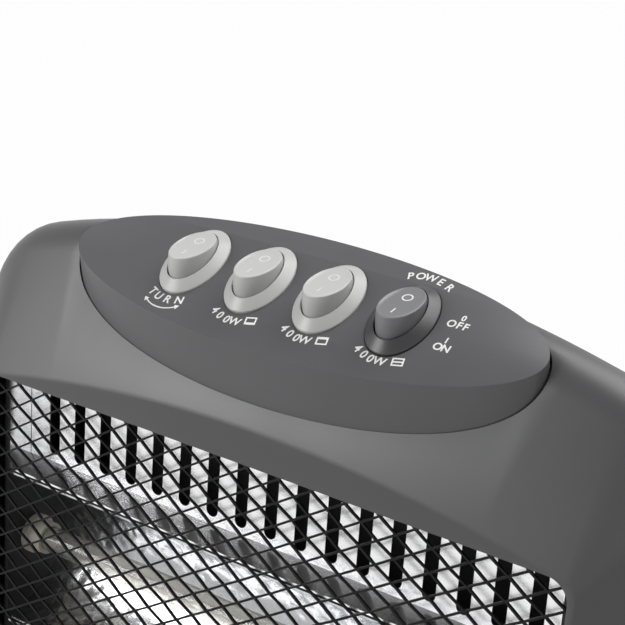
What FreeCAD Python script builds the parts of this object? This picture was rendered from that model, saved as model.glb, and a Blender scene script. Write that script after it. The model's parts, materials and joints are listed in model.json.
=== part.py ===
import FreeCAD, Part
import math
import os
import re
import Sketcher
from types import SimpleNamespace

# Oscillating halogen heater: a round base with a neck, and a head that swings on the neck.
# X runs to the right of someone facing the heater, Y to the back, Z up from the floor.
# The swing axis is the Z axis.

Vector = FreeCAD.Vector
Placement = FreeCAD.Placement
Rotation = FreeCAD.Rotation

doc = FreeCAD.newDocument("halogen_heater")

# Driving sizes, in millimetres and degrees
driving = {
    # Cuts run past the faces they open by this much
    "overrun": 2.0,
    # Switch row: its centre on the crowned face of the control pod
    "row_y": -24.0,
    "row_z": 515.0,
    "face_tilt": 32.0,
    "face_crown": 460.0,
    "switch_pitch": 31.0,
    # Control pod: an elliptic moulding that stands through the front housing
    "pod_half_length": 103.0,
    "pod_half_depth": 27.6,
    "pod_shift": -1.3,
    "pod_lean": 10.8,
    "pod_wall": 3.0,
    "pod_gap": 0.4,
    "pod_reach": 62.0,
    "pod_floor_tilt": 44.0,
    "pod_floor_drop": 26.0,
    # Rocker switches
    "bezel_half_length": 17.2,
    "bezel_half_width": 12.2,
    "bezel_height": 4.85,
    "bezel_sink": 1.45,
    "bezel_edge": 0.5,
    "bezel_land": 0.3,
    "can_half_length": 14.2,
    "can_half_width": 10.2,
    "can_depth": 14.0,
    "can_fit": 0.25,
    "well_half_length": 12.85,
    "well_half_width": 8.75,
    "well_depth": 9.0,
    "rocker_half_length": 12.4,
    "rocker_half_width": 8.3,
    "rocker_tilt": 16.0,
    "rocker_top": 6.5,
    "rocker_base": 4.0,
    "rocker_dish": 0.7,
    "rocker_dish_radius": 70.0,
    "pivot_depth": 2.6,
    "pivot_radius": 1.25,
    "pivot_reach": 9.85,
    "pivot_end_gap": 0.25,
    "pivot_clearance": 0.05,
    "blade_width": 6.3,
    "blade_thick": 0.8,
    "blade_length": 9.0,
    "blade_offset": 6.0,
    # Front housing: crease around the grille opening, shoulder, parting line
    "wall": 2.6,
    "front_y": -49.6,
    "shoulder_y": -20.5,
    "parting_y": -8.0,
    "crease_half_width": 134.0,
    "crease_top": 467.9,
    "crease_bottom": 178.4,
    "crease_arch": 600.0,
    "crease_corner": 6.0,
    "shell_half_width": 158.0,
    "shell_top": 529.5,
    "shell_bottom": 138.0,
    "shell_arch": 480.0,
    "shell_corner": 37.0,
    "parting_drop": 1.0,
    "opening_half_width": 131.0,
    "opening_top": 453.6,
    "opening_bottom": 192.7,
    "opening_corner": 8.0,
    # Rear cover
    "rim_side": 4.0,
    "rim_step": 0.4,
    "rim_land": 3.0,
    "rear_mid_y": 20.0,
    "rear_mid_draft": 1.0,
    "rear_mid_drop": 15.0,
    "rear_y": 52.0,
    "rear_draft": 4.0,
    "rear_drop": 27.0,
    "rear_inset": 32.0,
    "louvre_half_width": 62.0,
    "louvre_height": 4.0,
    "louvre_pitch": 11.0,
    "louvre_low_z": 226.0,
    "louvre_high_z": 346.0,
    "grip_half_width": 55.0,
    "grip_low_z": 424.0,
    "grip_height": 32.0,
    "grip_depth": 24.0,
    # Screws that hold the two shells together
    "shell_screw_inset": 9.0,
    "shell_screw_low_z": 212.0,
    "shell_screw_high_z": 446.0,
    "shell_boss_radius": 7.0,
    "shell_boss_front_y": -32.0,
    "shell_boss_back_y": 30.0,
    "screw_radius": 2.1,
    "screw_play": 0.1,
    "screw_head_radius": 4.2,
    "screw_head_height": 3.0,
    "screw_front_y": -26.0,
    # Grille: a flat field of diamonds with its edges folded back behind the lip
    "grille_front_y": -48.2,
    "grille_back_y": -43.2,
    "grille_thick": 1.2,
    "grille_rim": 4.0,
    "grille_gap": 4.0,
    "grille_flange": 4.0,
    "grille_play": 0.4,
    "diamond_width": 28.4,
    "diamond_height": 18.0,
    "strand_width": 2.0,
    "stop_length": 14.0,
    "stop_width": 3.0,
    # Reflector: slotted upper panel, lower panel and one trough for each tube
    "sheet": 0.8,
    "panel_y": -29.5,
    "panel_half_width": 127.0,
    "panel_top": 458.0,
    "panel_bottom": 188.0,
    "shelf_edge_y": -41.5,
    "shelf_drop": 3.0,
    "slot_pitch": 14.1,
    "slot_width": 5.7,
    "slot_lift": 3.2,
    "slot_head": 5.0,
    "trough_radius": 34.0,
    "trough_y": -42.0,
    "trough_gap": 0.2,
    # Tubes
    "tube_top_z": 374.5,
    "tube_pitch": 70.0,
    "tube_y": -26.0,
    "tube_radius": 5.5,
    "tube_wall": 1.0,
    "tube_half_length": 118.0,
    "filament_radius": 1.2,
    "cap_radius": 7.0,
    "cap_length": 17.0,
    "cap_flange_radius": 8.5,
    "cap_flange_thick": 3.0,
    "cap_fit": 0.1,
    "contact_length": 6.0,
    "contact_width": 5.0,
    # Carrier brackets at the tube ends, heat shield, cutout
    "bracket_thick": 2.0,
    "bracket_back_y": -4.0,
    "shield_thick": 0.8,
    "cutout_radius": 8.0,
    "cutout_height": 9.0,
    "cutout_x": 60.0,
    "cutout_z": 420.0,
    # Base
    "base_radius": 120.0,
    "base_wall": 2.6,
    "plate_low": 4.0,
    "plate_thick": 3.0,
    "plate_play": 0.4,
    "skirt_top": 16.0,
    "dome_mid_radius": 98.0,
    "dome_mid_height": 37.0,
    "dome_top_radius": 52.0,
    "dome_top_height": 50.0,
    "flare_mid_radius": 40.5,
    "flare_mid_height": 57.5,
    "flare_top": 72.0,
    "neck_radius": 36.0,
    "neck_top": 135.5,
    "foot_radius": 10.0,
    "foot_circle": 102.0,
    "weight_inner": 90.0,
    "weight_outer": 108.0,
    "weight_height": 6.0,
    "base_screw_circle": 84.0,
    "base_screw_angle": 35.0,
    "base_boss_radius": 5.0,
    "base_screw_length": 16.0,
    "base_screw_head": 1.8,
    "gland_lift": 1.0,
    "gland_radius": 5.2,
    "gland_tail": 6.0,
    "gland_bore": 3.2,
    "block_length": 40.0,
    "block_width": 18.0,
    "block_height": 15.0,
    "block_y": 53.0,
    # Swivel: fixed post in the base, bush and plate in the head
    "post_radius": 16.0,
    "post_bore": 7.0,
    "post_flange_radius": 38.0,
    "post_flange": 5.0,
    "post_shoulder_z": 167.0,
    "post_neck_radius": 10.0,
    "post_top_z": 181.5,
    "post_play": 0.3,
    "bush_clearance": 0.05,
    "bush_radius": 20.5,
    "bush_top_z": 165.0,
    "bush_hole": 22.0,
    "washer_radius": 30.0,
    "washer_thick": 2.8,
    "washer_gap": 0.2,
    "swivel_low": 150.0,
    "swivel_thick": 4.0,
    "swivel_half_width": 40.0,
    "swivel_front_y": -22.0,
    "swivel_back_y": 34.0,
    "swivel_boss_radius": 5.0,
    "swivel_boss_x": 32.0,
    "swivel_boss_front_y": -15.0,
    "swivel_boss_back_y": 24.0,
    # Swing drive: a fixed gear on the post and a pinion on the motor
    "gear_module": 1.5,
    "gear_thick": 8.0,
    "nut_radius": 13.0,
    "nut_height": 6.0,
    "pinion_shaft_radius": 3.0,
    "pinion_clearance": 0.05,
    "motor_radius": 23.0,
    "motor_height": 20.0,
    "motor_offset": 9.0,
    "motor_ear": 6.0,
    "shaft_engage": 14.0,
    "mount_plate": 2.0,
    "mount_low": 182.0,
    "mount_leg": 3.0,
    "mount_leg_x": 39.0,
    "mount_front_y": 12.0,
    # Tip over switch in the base
    "tip_y": -66.0,
    "tip_case_half": 11.0,
    "tip_case_top": 27.0,
    "tip_floor": 8.8,
    "tip_roof": 25.0,
    "tip_chamber": 6.5,
    "plunger_radius": 4.0,
    "plunger_flange_radius": 6.0,
    "plunger_flange_low": 15.0,
    "plunger_flange": 2.0,
    "plunger_lift": 0.3,
    "plunger_tip_radius": 2.0,
    "plunger_clearance": 0.05,
    "plunger_tip_gap": 0.4,
    "tip_spring_inner": 4.4,
    "tip_spring_outer": 5.8,
    "micro_height": 8.0,
}

# Counts and shares
gear_teeth = 34
pinion_teeth = 11
tube_count = 3
slot_count = 17
louvre_count = 6
round_steps = 6
round_start_share = 0.82
round_end_share = 0.9
front_inset_share = 0.25
shoulder_back_share = 0.6
rear_start_share = 0.3
tooth_share = 0.42
addendum_share = 0.8
dedendum_share = 1.25
pressure_angle = 20
full_turn = 360
right_angle = 90
foot_angle = 45

sheet = doc.addObject("Spreadsheet::Sheet", "Sizes")
for line, (alias, value) in enumerate(driving.items(), 1):
    sheet.set("A%d" % line, alias)
    sheet.set("B%d" % line, str(value))
    sheet.setAlias("B%d" % line, alias)
doc.recompute()

# The same sizes read back from the sheet, for shapes that are made from wires
v = SimpleNamespace(**{alias: float(getattr(sheet, alias)) for alias in driving})
nodes = []


def keep(label, solid):
    solid.Label = label
    nodes.append(solid)
    return solid


def ex(text):
    return re.sub(r"[a-z][a-z_]*", lambda word: "Sizes." + word[0] if word[0] in driving else word[0], text)


def place(solid, x="0", y="0", z="0"):
    for axis, text in zip("xyz", (x, y, z)):
        solid.setExpression("Placement.Base." + axis, ex(text))


def box(name, x, y, z):
    solid = doc.addObject("Part::Box", name)
    for side, (low, high) in zip(("Length", "Width", "Height"), (x, y, z)):
        solid.setExpression(side, ex("(%s) - (%s)" % (high, low)))
    place(solid, x[0], y[0], z[0])
    return solid


def rod(name, axis, radius, low, high, first="0", second="0"):
    solid = doc.addObject("Part::Cylinder", name)
    solid.setExpression("Radius", ex(radius))
    solid.setExpression("Height", ex("(%s) - (%s)" % (high, low)))
    if axis == "x":
        solid.Placement = Placement(Vector(), Rotation(Vector(0, 1, 0), right_angle))
        place(solid, low, first, second)
    elif axis == "y":
        solid.Placement = Placement(Vector(), Rotation(Vector(1, 0, 0), -right_angle))
        place(solid, first, low, second)
    else:
        place(solid, first, second, low)
    return solid


def cut(name, base, tool):
    result = doc.addObject("Part::Cut", name)
    result.Base = base
    result.Tool = tool
    return result


def fuse(name, *solids):
    result = doc.addObject("Part::MultiFuse", name)
    result.Shapes = list(solids)
    return result


def common(name, *solids):
    result = doc.addObject("Part::MultiCommon", name)
    result.Shapes = list(solids)
    return result


def group(name, solids):
    result = doc.addObject("Part::Compound", name)
    result.Links = list(solids)
    return result


def tube(name, axis, outer, inner, low, high, first="0", second="0"):
    body = rod(name + "_body", axis, outer, low, high, first, second)
    bore = rod(name + "_bore", axis, inner, low + " - overrun", high + " + overrun", first, second)
    return cut(name, body, bore)


def feature(name, shape, placement=None):
    solid = doc.addObject("Part::Feature", name)
    solid.Shape = shape
    if placement:
        solid.Placement = placement
    return solid


def polygon(body, role, points):
    sketch = body.newObject("Sketcher::SketchObject", body.Name + "_outline")
    plane = [part for part in body.Origin.OriginFeatures if part.Role == role][0]
    sketch.AttachmentSupport = [(plane, "")]
    sketch.MapMode = "FlatFace"
    count = len(points)
    values = [[sheet.evalExpression(ex(text)) for text in point] for point in points]
    corners = [Vector(float(across), float(up), 0) for across, up in values]
    for index in range(count):
        sketch.addGeometry(Part.LineSegment(corners[index], corners[(index + 1) % count]), False)
    for index in range(count):
        sketch.addConstraint(Sketcher.Constraint("Coincident", index, 2, (index + 1) % count, 1))
    for index, point in enumerate(points):
        for kind, text, value in zip(("DistanceX", "DistanceY"), point, corners[index]):
            number = sketch.addConstraint(Sketcher.Constraint(kind, -1, 1, index, 1, value))
            sketch.setExpression("Constraints[%d]" % number, ex(text))
    return sketch


def turned(name, points):
    body = doc.addObject("PartDesign::Body", name)
    sketch = polygon(body, "XZ_Plane", points)
    turn = body.newObject("PartDesign::Revolution", name + "_turn")
    turn.Profile = sketch
    turn.ReferenceAxis = (sketch, ["V_Axis"])
    turn.Angle = full_turn
    return body


def folded(name, points, half_width):
    body = doc.addObject("PartDesign::Body", name)
    sketch = polygon(body, "YZ_Plane", points)
    pad = body.newObject("PartDesign::Pad", name + "_pad")
    pad.Profile = sketch
    pad.setExpression("Length", ex("2 * (%s)" % half_width))
    pad.SideType = "Symmetric"
    return body


def oval(half_x, half_y, level):
    centre = Vector(0, 0, level)
    ends = [Vector(half_x, 0, level), Vector(0, half_y, level)]
    if half_y > half_x:
        ends = [Vector(0, half_y, level), Vector(-half_x, 0, level)]
    return Part.Wire([Part.Ellipse(ends[0], ends[1], centre).toShape()])


def elliptic_prism(half_x, half_y, low, high):
    return Part.Face(oval(half_x, half_y, low)).extrude(Vector(0, 0, high - low))


# Shell outlines: an arched top and bottom, straight sides and round corners, in a plane of one depth


def outline(section):
    y, half, top, bottom, arch, corner = section
    inner = half - corner
    reach = math.sqrt((arch - corner) ** 2 - inner ** 2)
    touch = inner * arch / (arch - corner)
    lean = Vector(inner / (arch - corner) + 1, 0, reach / (arch - corner)).normalize()
    points = {}
    for side, level, up in (("upper", top - arch, 1), ("lower", bottom + arch, -1)):
        points[side] = {
            "touch": (touch, level + up * reach * arch / (arch - corner)),
            "mid": (inner + corner * lean.x, level + up * (reach + corner * lean.z)),
            "side": (half, level + up * reach),
        }

    def at(side, kind, sign):
        x, z = points[side][kind]
        return Vector(sign * x, y, z)

    def bend(side, sign, order):
        return Part.Arc(*[at(side, kind, sign) for kind in order])

    crown = Part.Arc(at("upper", "touch", -1), Vector(0, y, top), at("upper", "touch", 1))
    keel = Part.Arc(at("lower", "touch", 1), Vector(0, y, bottom), at("lower", "touch", -1))
    into, out = ("touch", "mid", "side"), ("side", "mid", "touch")
    edges = [
        crown,
        bend("upper", 1, into),
        Part.LineSegment(at("upper", "side", 1), at("lower", "side", 1)),
        bend("lower", 1, out),
        keel,
        bend("lower", -1, into),
        Part.LineSegment(at("lower", "side", -1), at("upper", "side", -1)),
        bend("upper", -1, out),
    ]
    return Part.Wire([edge.toShape() for edge in edges])


def skin(sections):
    return Part.makeLoft([outline(section) for section in sections], True, True)


def inset(section, depth, back=0):
    y, half, top, bottom, arch, corner = section
    return (y + back, half - depth, top - depth, bottom + depth, arch, corner - depth)


def lowered(section, drop):
    y, half, top, bottom, arch, corner = section
    return (y, half, top - drop, bottom, arch, corner)


def mix(first, second, share):
    return tuple(a + (b - a) * share for a, b in zip(first, second))


def rounded(front, shoulder, back, start_share=round_start_share):
    start = mix(front, shoulder, start_share)
    end = mix(shoulder, back, round_end_share)
    shares = [step / round_steps for step in range(round_steps + 1)]
    bend = [mix(mix(start, shoulder, share), mix(shoulder, end, share), share) for share in shares]
    return [front] + bend + [back]


crease = (v.front_y, v.crease_half_width, v.crease_top, v.crease_bottom, v.crease_arch, v.crease_corner)
shoulder = (v.shoulder_y, v.shell_half_width, v.shell_top, v.shell_bottom, v.shell_arch, v.shell_corner)
parting = (
    v.parting_y,
    v.shell_half_width,
    v.shell_top - v.parting_drop,
    v.shell_bottom + v.parting_drop,
    v.shell_arch,
    v.shell_corner,
)

front_outer = skin(rounded(crease, shoulder, parting))
front_inner = skin(rounded(
    inset(crease, v.wall * front_inset_share, v.wall),
    inset(shoulder, v.wall, v.wall * shoulder_back_share),
    inset(parting, v.wall, v.overrun),
))

rim = inset(parting, v.rim_step)
rim = (rim[0], v.shell_half_width + v.rim_side, rim[2], rim[3], rim[4], v.shell_corner + v.rim_side)
rear_mid = lowered(inset(rim, v.rear_mid_draft, v.rear_mid_y - v.parting_y), v.rear_mid_drop)
rear_peak = lowered(inset(rim, v.rear_draft, v.rear_y - v.parting_y), v.rear_drop)
rear_back = lowered(inset(rim, v.rear_inset, v.rear_y - v.parting_y), v.rear_drop)
land_share = v.rim_land / (v.rear_mid_y - v.parting_y)
rear_outer = skin([rim] + rounded(rear_mid, rear_peak, rear_back, rear_start_share)[:-1])
rear_inner = skin([
    inset(parting, v.wall, -v.overrun),
    lowered(inset(parting, v.wall, v.rim_land), v.rear_mid_drop * land_share),
    inset(mix(rim, rear_mid, 2 * land_share), v.wall),
] + rounded(
    inset(rear_mid, v.wall),
    inset(rear_peak, v.wall, -v.wall),
    inset(rear_back, v.wall, -v.wall),
    rear_start_share,
)[:-1])

# Control pod and its hole

tilt = math.radians(v.face_tilt)
face_turn = Rotation(Vector(1, 0, 0), v.face_tilt)
switch_names = ["turn", "lower_tube", "upper_tube", "power"]
switch_count = len(switch_names)
switch_xs = [(index - (switch_count - 1) / 2) * v.switch_pitch for index in range(switch_count)]


def switch_place(x):
    return Placement(Vector(x, v.row_y, v.row_z), face_turn)


def pod_prism(grow):
    lean = math.tan(math.radians(v.pod_lean))
    foot = Part.Face(oval(v.pod_half_length + grow, v.pod_half_depth + grow, v.row_z - v.pod_reach))
    foot.translate(Vector(0, v.row_y + v.pod_shift + lean * v.pod_reach, 0))
    return foot.extrude(Vector(0, -2 * lean * v.pod_reach, 2 * v.pod_reach))


def pod_block(depth):
    reach = v.pod_half_length + v.overrun
    middle = Vector(-reach, v.row_y + v.face_crown * math.sin(tilt), v.row_z - v.face_crown * math.cos(tilt))
    crown = Part.makeCylinder(v.face_crown - depth, 2 * reach, middle, Vector(1, 0, 0))
    return pod_prism(-depth).common(crown)


def pod_shape():
    shell = pod_block(0).cut(pod_block(v.pod_wall))
    span = 2 * v.pod_half_length
    below = Part.makeBox(2 * span, 2 * span, span, Vector(-span, -span, -span))
    below.Placement = Placement(
        Vector(0, v.row_y + v.pod_shift, v.row_z - v.pod_floor_drop),
        Rotation(Vector(1, 0, 0), v.pod_floor_tilt),
    )
    shell = shell.cut(below)
    for x in switch_xs:
        seat = elliptic_prism(
            v.bezel_half_width + v.can_fit, v.bezel_half_length + v.can_fit, -v.bezel_sink, v.bezel_height
        )
        hole = elliptic_prism(
            v.can_half_width + v.can_fit, v.can_half_length + v.can_fit, -v.can_depth, v.bezel_height
        )
        for tool in (seat, hole):
            tool.Placement = switch_place(x)
            shell = shell.cut(tool)
    return shell


pod_hole = pod_prism(v.pod_gap)
pod_hole_tool = feature("pod_hole", pod_hole)
keep("control_pod", feature("control_pod", pod_shape()))

# Rocker switches: bezel and can, rocker on its pivot, terminal blades

bezel_top = v.bezel_height - v.bezel_sink
pivot_height = bezel_top - v.pivot_depth


def rocker_ball(half_length, half_width):
    reach = math.hypot(half_length, v.pivot_depth)
    stretch = FreeCAD.Matrix()
    stretch.scale(half_width * reach / half_length, reach, reach)
    return Part.makeSphere(1).transformGeometry(stretch)


def pivot_pin(radius, reach):
    return Part.makeCylinder(radius, 2 * reach, Vector(-reach, 0, 0), Vector(1, 0, 0))


def switch_shape():
    bezel = elliptic_prism(v.bezel_half_width, v.bezel_half_length, -v.bezel_sink, v.bezel_edge)
    slope = Part.makeLoft([
        oval(v.bezel_half_width, v.bezel_half_length, v.bezel_edge),
        oval(v.well_half_width + v.bezel_land, v.well_half_length + v.bezel_land, bezel_top),
    ], True, True)
    can = elliptic_prism(v.can_half_width, v.can_half_length, -v.bezel_sink - v.can_depth, -v.bezel_sink)
    well = rocker_ball(v.well_half_length, v.well_half_width)
    well = well.common(Part.makeBox(
        4 * v.well_half_width, 4 * v.well_half_length, 4 * v.well_depth,
        Vector(-2 * v.well_half_width, -2 * v.well_half_length, -v.well_depth),
    ))
    socket = pivot_pin(v.pivot_radius + v.pivot_clearance, v.pivot_reach + v.pivot_end_gap)
    for tool in (well, socket):
        tool.translate(Vector(0, 0, pivot_height))
    return bezel.fuse([slope, can]).cut(well).cut(socket)


def rocker_shape():
    ball = rocker_ball(v.rocker_half_length, v.rocker_half_width)
    reach = 2 * v.rocker_half_length
    band = Part.makeBox(
        2 * reach, 2 * reach, v.rocker_top + v.rocker_base, Vector(-reach, -reach, -v.rocker_base)
    )
    dish = Part.makeCylinder(
        v.rocker_dish_radius, 2 * reach,
        Vector(-reach, 0, v.rocker_top + v.rocker_dish_radius - v.rocker_dish), Vector(1, 0, 0),
    )
    cap = ball.common(band).cut(dish)
    cap.rotate(Vector(), Vector(1, 0, 0), -v.rocker_tilt)
    pin = pivot_pin(v.pivot_radius, v.pivot_reach)
    for solid in (cap, pin):
        solid.translate(Vector(0, 0, pivot_height))
    return cap.fuse(pin)


def blade_pair():
    top = -v.bezel_sink - v.can_depth
    blades = []
    for side in (-1, 1):
        low = Vector(-v.blade_width / 2, side * v.blade_offset - v.blade_thick / 2, top - v.blade_length)
        blades.append(Part.makeBox(v.blade_width, v.blade_thick, v.blade_length, low))
    return blades


blades = []
for name, x in zip(switch_names, switch_xs):
    keep(name + "_switch", feature(name + "_switch", switch_shape(), switch_place(x)))
    keep(name + "_rocker", feature(name + "_rocker", rocker_shape(), switch_place(x)))
    for blade in blade_pair():
        blade.Placement = switch_place(x) * blade.Placement
        blades.append(blade)
keep("switch_terminals", feature("switch_terminals", Part.makeCompound(blades)))

# Front housing: shell with the grille opening, the pod hole, the neck hole, screw bosses and grille stops

shell_screws = [
    (sign + "(shell_half_width - shell_screw_inset)", level)
    for sign in ("-", "") for level in ("shell_screw_low_z", "shell_screw_high_z")
]
grille_half = "(opening_half_width - grille_gap)"
grille_low = "(opening_bottom + grille_gap)"
grille_high = "(opening_top - grille_gap)"


def shell_bosses(name, low, high):
    return [
        rod("%s_boss_%d" % (name, index), "y", "shell_boss_radius", low, high, x, z)
        for index, (x, z) in enumerate(shell_screws)
    ]


def swivel_bosses(name, y):
    return [
        rod("%s_swivel_boss_%d" % (name, index), "z", "swivel_boss_radius", "shell_bottom", "swivel_low",
            sign + "swivel_boss_x", y)
        for index, sign in enumerate(("-", ""))
    ]


def screw_holes(name, low, high):
    return [
        rod("%s_hole_%d" % (name, index), "y", "screw_radius + screw_play", low, high, x, z)
        for index, (x, z) in enumerate(shell_screws)
    ]


opening_block = box(
    "opening_block",
    ("-opening_half_width", "opening_half_width"),
    ("front_y - overrun", "front_y + wall + overrun"),
    ("opening_bottom", "opening_top"),
)
doc.recompute()
opening = doc.addObject("Part::Fillet", "opening")
opening.Base = opening_block
opening.Edges = [
    (number, v.opening_corner, v.opening_corner)
    for number, edge in enumerate(opening_block.Shape.Edges, 1)
    if edge.BoundBox.XLength + edge.BoundBox.ZLength < v.overrun
]

neck_hole = rod("neck_hole", "z", "bush_hole", "shell_bottom - overrun", "swivel_low")
front_skin = cut("front_skin", feature("front_outer", front_outer), feature("front_inner", front_inner))
stops = []
for index, (sign, level) in enumerate(
        [(sign, level) for sign in ("-", "") for level in (grille_low, grille_high)]):
    inward = "%s(%s + grille_rim + grille_flange)" % (sign, grille_half)
    outward = "%s(%s + grille_rim + grille_flange - stop_width)" % (sign, grille_half)
    middle = "(%s + (opening_top + opening_bottom) / 2) / 2" % level
    stops.append(box(
        "grille_stop_%d" % index,
        (inward, outward) if sign else (outward, inward),
        ("front_y + wall / 2", "grille_back_y"),
        (middle + " - stop_length / 2", middle + " + stop_length / 2"),
    ))
front_bosses = common(
    "front_bosses",
    fuse("front_boss_rods", *shell_bosses("front", "shell_boss_front_y", "parting_y"),
         *swivel_bosses("front", "swivel_boss_front_y"), *stops),
    feature("front_boss_limit", front_outer),
)
front_body = fuse("front_body", front_skin, front_bosses)
front_cuts = fuse(
    "front_cuts", opening, pod_hole_tool, neck_hole,
    *screw_holes("front", "shell_boss_front_y + screw_head_height", "parting_y + overrun"),
)
keep("front_housing", cut("front_housing", front_body, front_cuts))

# Rear cover: shell with louvres, a grip recess and the other half of the bosses


def louvres(name, low):
    return [
        box(
            "%s_louvre_%d" % (name, index),
            ("-louvre_half_width", "louvre_half_width"),
            ("rear_y - wall - overrun", "rear_y + overrun"),
            ("%s + %d * louvre_pitch" % (low, index), "%s + %d * louvre_pitch + louvre_height" % (low, index)),
        )
        for index in range(louvre_count)
    ]


grip_block = box(
    "grip_block",
    ("-grip_half_width - wall", "grip_half_width + wall"),
    ("rear_y - grip_depth - wall", "rear_y - wall / 2"),
    ("grip_low_z - wall", "grip_low_z + grip_height + wall"),
)
grip_pocket = box(
    "grip_pocket",
    ("-grip_half_width", "grip_half_width"),
    ("rear_y - grip_depth", "rear_y + overrun"),
    ("grip_low_z", "grip_low_z + grip_height"),
)
rear_skin = cut("rear_skin", feature("rear_outer", rear_outer), feature("rear_inner", rear_inner))
rear_bosses = common(
    "rear_bosses",
    fuse("rear_boss_rods", *shell_bosses("rear", "parting_y", "shell_boss_back_y"),
         *swivel_bosses("rear", "swivel_boss_back_y"), grip_block),
    feature("rear_boss_limit", rear_outer),
)
rear_body = fuse("rear_body", rear_skin, rear_bosses)
driver_ways = [
    rod("driver_way_%d" % index, "y", "screw_head_radius + screw_play", "shell_boss_back_y",
        "rear_y + overrun", x, z)
    for index, (x, z) in enumerate(shell_screws)
]
rear_neck_hole = rod("rear_neck_hole", "z", "bush_hole", "shell_bottom - overrun", "swivel_low")
rear_cuts = fuse(
    "rear_cuts", feature("rear_pod_hole", pod_hole), rear_neck_hole, grip_pocket,
    *screw_holes("rear", "parting_y - overrun", "shell_boss_back_y + overrun"), *driver_ways,
    *louvres("low", "louvre_low_z"), *louvres("high", "louvre_high_z"),
)
keep("rear_cover", cut("rear_cover", rear_body, rear_cuts))

screws = []
for index, (x, z) in enumerate(shell_screws):
    shank = rod("shell_shank_%d" % index, "y", "screw_radius", "screw_front_y", "shell_boss_back_y", x, z)
    head = rod("shell_head_%d" % index, "y", "screw_head_radius", "shell_boss_back_y",
               "shell_boss_back_y + screw_head_height", x, z)
    screws.append(fuse("shell_screw_%d" % index, shank, head))
keep("shell_screws", group("shell_screws", screws))

# Grille: diamond field, folded border and flange


def rectangle(half_width, low, high, y):
    corners = [(-half_width, low), (half_width, low), (half_width, high), (-half_width, high)]
    points = [Vector(x, y, z) for x, z in corners]
    return Part.makePolygon(points + points[:1])


def grille_shape():
    half = v.opening_half_width - v.grille_gap
    low = v.opening_bottom + v.grille_gap
    high = v.opening_top - v.grille_gap
    across = (v.diamond_width - v.strand_width * v.diamond_width / v.diamond_height) / 2
    up = (v.diamond_height - v.strand_width) / 2
    columns = int((half - across) / (v.diamond_width / 2))
    rows = int((high - low - 2 * up) / v.diamond_height)
    holes = []
    for row in range(2 * rows + 1):
        for column in range(-columns, columns + 1):
            x = column * v.diamond_width / 2
            z = (low + high) / 2 + (row - rows) * v.diamond_height / 2
            inside = abs(x) + across < half and low < z - up and z + up < high
            if (row + column) % 2 == 0 and inside:
                points = [Vector(x + dx, v.grille_front_y, z + dz)
                          for dx, dz in ((-across, 0), (0, -up), (across, 0), (0, up))]
                holes.append(Part.Face(Part.makePolygon(points + points[:1])))
    field = Part.Face(rectangle(half, low, high, v.grille_front_y)).cut(Part.makeCompound(holes))
    field = field.extrude(Vector(0, v.grille_thick, 0))
    frame = []
    for depth in (0, v.grille_thick):
        narrow = rectangle(half - depth, low + depth, high - depth, v.grille_front_y)
        wide = rectangle(
            half + v.grille_rim - depth, low - v.grille_rim + depth, high + v.grille_rim - depth, v.grille_back_y
        )
        frame.append(Part.makeLoft([narrow, wide], True, True))
    flange = []
    for grow in (v.grille_rim + v.grille_flange, v.grille_rim - v.grille_thick):
        face = Part.Face(rectangle(half + grow, low - grow, high + grow, v.grille_back_y))
        flange.append(face.extrude(Vector(0, v.grille_thick, 0)))
    room = skin(rounded(
        inset(crease, v.wall * front_inset_share + v.grille_play, v.wall),
        inset(shoulder, v.wall + v.grille_play, v.wall * shoulder_back_share),
        inset(parting, v.wall + v.grille_play),
    ))
    border = frame[0].cut(frame[1]).fuse(flange[0].cut(flange[1]).common(room))
    print("grille gaps", len(holes))
    return field.fuse(border).removeSplitter()


keep("grille", feature("grille", grille_shape()))

# Reflector: folded upper and lower panels, one trough for each tube

trough_half = "(trough_radius + sheet)"
upper_fold = "(tube_top_z + %s + trough_gap + shelf_drop + sheet)" % trough_half
lower_fold = "(tube_top_z - %d * tube_pitch - %s - trough_gap - shelf_drop - sheet)" % (
    tube_count - 1, trough_half)
upper_panel = folded(
    "upper_sheet",
    [
        ("panel_y", "panel_top"),
        ("panel_y", upper_fold),
        ("shelf_edge_y", upper_fold + " - shelf_drop"),
        ("shelf_edge_y", upper_fold + " - shelf_drop - sheet"),
        ("panel_y + sheet", upper_fold + " - sheet"),
        ("panel_y + sheet", "panel_top"),
    ],
    "panel_half_width",
)
slots = []
for index in range(slot_count):
    middle = "%d * slot_pitch" % (index - slot_count // 2)
    low = upper_fold + " + slot_lift + slot_width / 2"
    slots.append(box(
        "slot_%d" % index,
        (middle + " - slot_width / 2", middle + " + slot_width / 2"),
        ("panel_y - overrun", "panel_y + sheet + overrun"),
        (low, "panel_top - slot_head"),
    ))
    slots.append(rod("slot_end_%d" % index, "y", "slot_width / 2", "panel_y - overrun",
                     "panel_y + sheet + overrun", middle, low))
keep("upper_vent_panel", cut("upper_vent_panel", upper_panel, fuse("slot_row", *slots)))
keep("lower_reflector_panel", folded(
    "lower_sheet",
    [
        ("panel_y", "panel_bottom"),
        ("panel_y + sheet", "panel_bottom"),
        ("panel_y + sheet", lower_fold + " + sheet"),
        ("shelf_edge_y", lower_fold + " + shelf_drop + sheet"),
        ("shelf_edge_y", lower_fold + " + shelf_drop"),
        ("panel_y", lower_fold),
    ],
    "panel_half_width",
))

tube_levels = ["(tube_top_z - %d * tube_pitch)" % index for index in range(tube_count)]
tube_names = ["upper", "middle", "lower"]
for name, level in zip(tube_names, tube_levels):
    pipe = tube(name + "_trough_pipe", "x", trough_half, "trough_radius", "-panel_half_width",
                "panel_half_width", "trough_y", level)
    half = box(
        name + "_trough_half",
        ("-panel_half_width", "panel_half_width"),
        ("trough_y", "trough_y + 2 * trough_radius"),
        (level + " - 2 * trough_radius", level + " + 2 * trough_radius"),
    )
    keep(name + "_tube_reflector", common(name + "_tube_reflector", pipe, half))

# Halogen tubes: quartz sleeve, filament, ceramic end caps and contact tabs

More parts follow.
